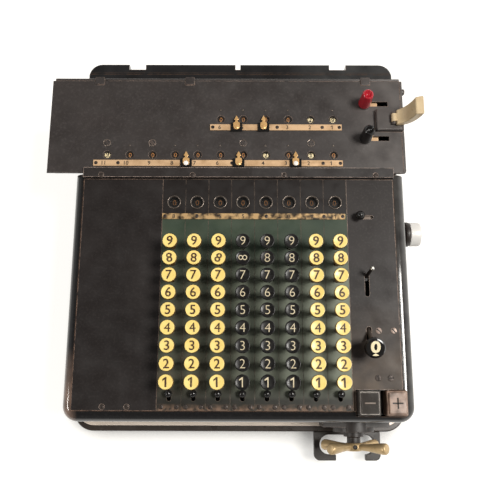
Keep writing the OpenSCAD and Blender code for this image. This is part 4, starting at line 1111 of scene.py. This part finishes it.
def makeSmallLevers():
    shape = leverShape
    under = at(0, 0, -shape["blockDown"] * mm)
    right, down = [d * mm for d in shape["slidePlace"]]
    spot = middle("dial_lever")
    foot = at(spot.x, spot.y, plateTop)
    knob, slide = bmesh.new(), bmesh.new()
    stamp(knob, lathe(shape["knob"], 32), foot)
    stamp(knob, roundedBox(shape["knobBlock"], 0.4, 2), foot @ under)
    stamp(slide, roundedBox(shape["slide"], 0.1, 1), foot @ at(right, 0, -down))
    piece("dial_lever_knob", knob, keyBlack, "dial_lever", ["dial_lever"], 50)
    piece("dial_lever_slide", slide, signGrey, "dial_lever")
    spot = middle("mode_lever")
    foot = at(spot.x, spot.y, plateTop)
    lean = foot @ turn(-shape["back"], "X") @ turn(shape["right"], "Y")
    tip, stem, block = bmesh.new(), bmesh.new(), bmesh.new()
    stamp(tip, lathe(shape["tip"], 32), lean)
    stamp(stem, lathe(shape["stem"], 32), lean)
    stamp(block, lathe(shape["peg"], 32), foot)
    stamp(block, roundedBox(shape["pinBlock"], 0.4, 2), foot @ under)
    piece("mode_lever_pin", tip, nickel, "mode_lever", ["mode_lever"], 50)
    piece("mode_lever_stem", stem, fittingBlack, "mode_lever", sharp=50)
    piece("mode_lever_block", block, keyTopBlack, "mode_lever", sharp=50)

makeSmallLevers()

# cross handle: four round arms with swollen ends on a hub, and the pin through it
handleShape = {"hub": [(0, -3.2), (6.2, -3.2), (7.0, -2.6), (7.4, -1.2), (7.4, 1.2), (7.0, 2.6), (6.2, 3.2),
                       (4.1, 3.4)],
               "collar": [(4.1, 3.0), (5.4, 3.2), (5.6, 4.0), (5.6, 7.4), (5.2, 8.0), (4.1, 8.0),
                          (4.1, 3.0)],
               "arm": [(2.6, 3), (2.6, 8), (2.75, 12), (3.3, 18), (4.2, 25), (4.5, 28.6), (4.45, 30.4),
                       (4.0, 31.5), (3.2, 31.95), (0, 32)],
               "arms": (45, 135, 225, 315), "pin": [(0, 6.6), (1.4, 6.5), (1.8, 6.2), (1.8, 5), (0, 5)],
               "pinHole": (5.8, 9), "pinRadius": 1.9}


def makeHandle():
    shape = handleShape
    pivot = at(*pivotOf("handle_turn"))
    holeLow, holeHigh = [z * mm for z in shape["pinHole"]]
    hub = lathe(shape["hub"], 40)
    hub.transform(turn(-90, "X"))
    hub = subtract(hub, [rodCutter(0, 0, holeLow, holeHigh, shape["pinRadius"] * mm)])
    arm = lathe(shape["arm"], 32)
    cross, collar, pin = bmesh.new(), bmesh.new(), bmesh.new()
    stamp(cross, hub, pivot)
    for angle in shape["arms"]:
        stamp(cross, arm, pivot @ turn(angle, "Y"))
    stamp(collar, lathe(shape["collar"], 32), pivot @ turn(-90, "X"))
    stamp(pin, lathe(shape["pin"], 20), pivot)
    piece("cross_arms", cross, handleBrass, "shift_handle", ["shift_handle"], 50)
    piece("cross_collar", collar, fittingBlack, "shift_handle")
    piece("cross_pin", pin, digitBlack, "shift_handle")


makeHandle()

# side knob: turned nickel knob on a dark collar
sideKnobShape = {"grip": [(0, 26.0), (8.5, 26.2), (10.2, 25.4), (10.7, 24.0), (10.7, 17.0), (10.3, 16.2),
                          (9.6, 15.9), (0, 15.9)],
                 "flange": [(0, 16.0), (9.9, 16.0), (10.9, 15.4), (11.2, 14.4), (11.2, 12.6), (10.6, 11.8),
                            (7, 11.5), (6.9, 3), (6.3, 2.2), (4.2, 2.1)]}


def makeSideKnob():
    axis = pivotOf("drum_turn")
    place = at(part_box("casing")[1].x, axis.y, axis.z) @ turn(90, "Y")
    grip, flange = bmesh.new(), bmesh.new()
    stamp(grip, lathe(sideKnobShape["grip"], 48), place)
    stamp(flange, lathe(sideKnobShape["flange"], 48), place)
    piece("side_knob_grip", grip, nickelPaintedGlint, "drive", ["side_knob"], 40)
    piece("side_knob_flange", flange, fittingBlack, "drive", sharp=40)


makeSideKnob()
print("handle and side knob made")

# check windows: thin bright rings over dark sleeves
ringShape = {"outer": 5.8, "width": 0.95, "inner": 4.3}


def makeRings():
    outer, inner = ringShape["outer"], ringShape["inner"]
    edge = outer - ringShape["width"]
    ring = lathe([(edge, 0), (outer, 0), (outer - 0.05, 0.45), (outer - 0.25, 0.8), (outer - 0.5, 0.9),
                  (outer - 0.8, 0.75), (edge, 0.3), (edge, 0)], 48)
    sleeve = lathe([(edge, -1.7), (edge, 0.3), (inner + 0.2, 0.1), (inner, -0.3), (inner, -1.7),
                    (edge, -1.7)], 40)
    bright, dark = bmesh.new(), bmesh.new()
    for x in columnX:
        stamp(bright, ring, at(x, windowY, plateTop))
        stamp(dark, sleeve, at(x, windowY, plateTop))
    piece("window_ring_rims", bright, darkNickel, "machine", ["window_rings"], 50)
    piece("window_sleeves", dark, dialBlack, "machine")


makeRings()

# camera where the photograph was taken from, set out from the window row and the table
cameraShape = {"place": (-8.05, -151.64, 600.55), "tilt": 12.53, "roll": 0.317, "yaw": 0.496, "lens": 45.36}


def makeCamera():
    data = bpy.data.cameras.new("camera")
    data.sensor_width = 36
    data.sensor_fit = "AUTO"
    data.lens = cameraShape["lens"]
    data.clip_start = 0.01
    camera = bpy.data.objects.new("camera", data)
    bpy.context.scene.collection.objects.link(camera)
    x, y, z = [c * mm for c in cameraShape["place"]]
    camera.matrix_world = (at(middleX + x, windowY + y, z) @ turn(cameraShape["yaw"], "Z")
                           @ turn(cameraShape["tilt"], "X") @ turn(-cameraShape["roll"], "Z"))
    bpy.context.scene.camera = camera


makeCamera()

# pale table that shows as white, with a painted contact shadow where the machine stands close to it
tableShape = {"size": 3.0, "color": (0.4, 0.392, 0.38), "glowColor": (1, 0.985, 0.95), "glow": 0.86,
              "contact": 24}


def makeTable():
    bm = bmesh.new()
    bmesh.ops.create_grid(bm, x_segments=2, y_segments=2, size=tableShape["size"])
    mesh = meshFrom(bm, "table")
    material, tree, shader = startMaterial("table_white", tableShape["color"], 0.6)
    link(tree, fit(tree, noise(tree, 3, 3), 0.3, 0.7, 0.55, 0.68), shader.inputs["Roughness"])
    rays = tree.nodes.new("ShaderNodeLightPath")
    seen = maths(tree, "ADD", rays.outputs["Is Camera Ray"], rays.outputs["Is Glossy Ray"], True)
    seen = maths(tree, "ADD", seen, rays.outputs["Is Transmission Ray"], True)
    # painted contact shadow: the table's glow dims where the machine stands close to it
    close = tree.nodes.new("ShaderNodeAmbientOcclusion")
    close.samples = 8
    close.inputs["Distance"].default_value = tableShape["contact"] * mm
    glow = fit(tree, close.outputs["AO"], 0.6, 0.95, 0.05 * tableShape["glow"], tableShape["glow"])
    shader.inputs["Emission Color"].default_value = (*tableShape["glowColor"], 1)
    link(tree, maths(tree, "MULTIPLY", seen, glow), shader.inputs["Emission Strength"])
    mesh.materials.append(material)
    table = bpy.data.objects.new("table", mesh)
    bpy.context.scene.collection.objects.link(table)


makeTable()

# a window light from the right and a weak one from the left, both aimed at the machine
lampShape = {"window": {"power": 35, "size": (0.6, 0.55), "place": (0.92, 0.02, 1.84)},
             "door": {"power": 5, "size": (0.4, 0.15), "place": (-1.1, -0.32, 0.85)}}


def makeLamps():
    for name, shape in lampShape.items():
        lamp = bpy.data.lights.new(name, "AREA")
        lamp.energy = shape["power"]
        lamp.shape = "RECTANGLE"
        lamp.size, lamp.size_y = shape["size"]
        lamp.color = (1.0, 0.97, 0.92)
        lampObject = bpy.data.objects.new(name, lamp)
        bpy.context.scene.collection.objects.link(lampObject)
        spot = Vector(shape["place"])
        lampObject.matrix_world = at(*spot) @ (-spot).to_track_quat("-Z", "Y").to_matrix().to_4x4()


makeLamps()

# room: walls brighter than the ceiling, dimmer on the left and behind the viewer
roomShape = {"color": (1.0, 0.985, 0.96), "wall": 1.0, "dimWall": 0.4, "front": 0.3, "ceiling": 0.12}


def makeRoom():
    world = bpy.data.worlds.new("room")
    bpy.context.scene.world = world
    world.use_nodes = True
    tree = world.node_tree
    back = tree.nodes["Background"]
    back.inputs["Color"].default_value = (*roomShape["color"], 1)
    direction = tree.nodes.new("ShaderNodeTexCoord")
    split = tree.nodes.new("ShaderNodeSeparateXYZ")
    link(tree, direction.outputs["Generated"], split.inputs["Vector"])
    low = fit(tree, split.outputs["Z"], 0.3, 0.75, 1, 0)
    side = fit(tree, split.outputs["X"], -0.2, 0.6, roomShape["dimWall"], roomShape["wall"])
    viewer = fit(tree, split.outputs["Y"], -0.7, -0.2, roomShape["front"], 1)
    walls = maths(tree, "MULTIPLY", maths(tree, "MULTIPLY", low, side), viewer)
    link(tree, maths(tree, "ADD", walls, roomShape["ceiling"]), back.inputs["Strength"])
    bpy.context.scene.view_settings.view_transform = "Standard"


makeRoom()
print("stage made")
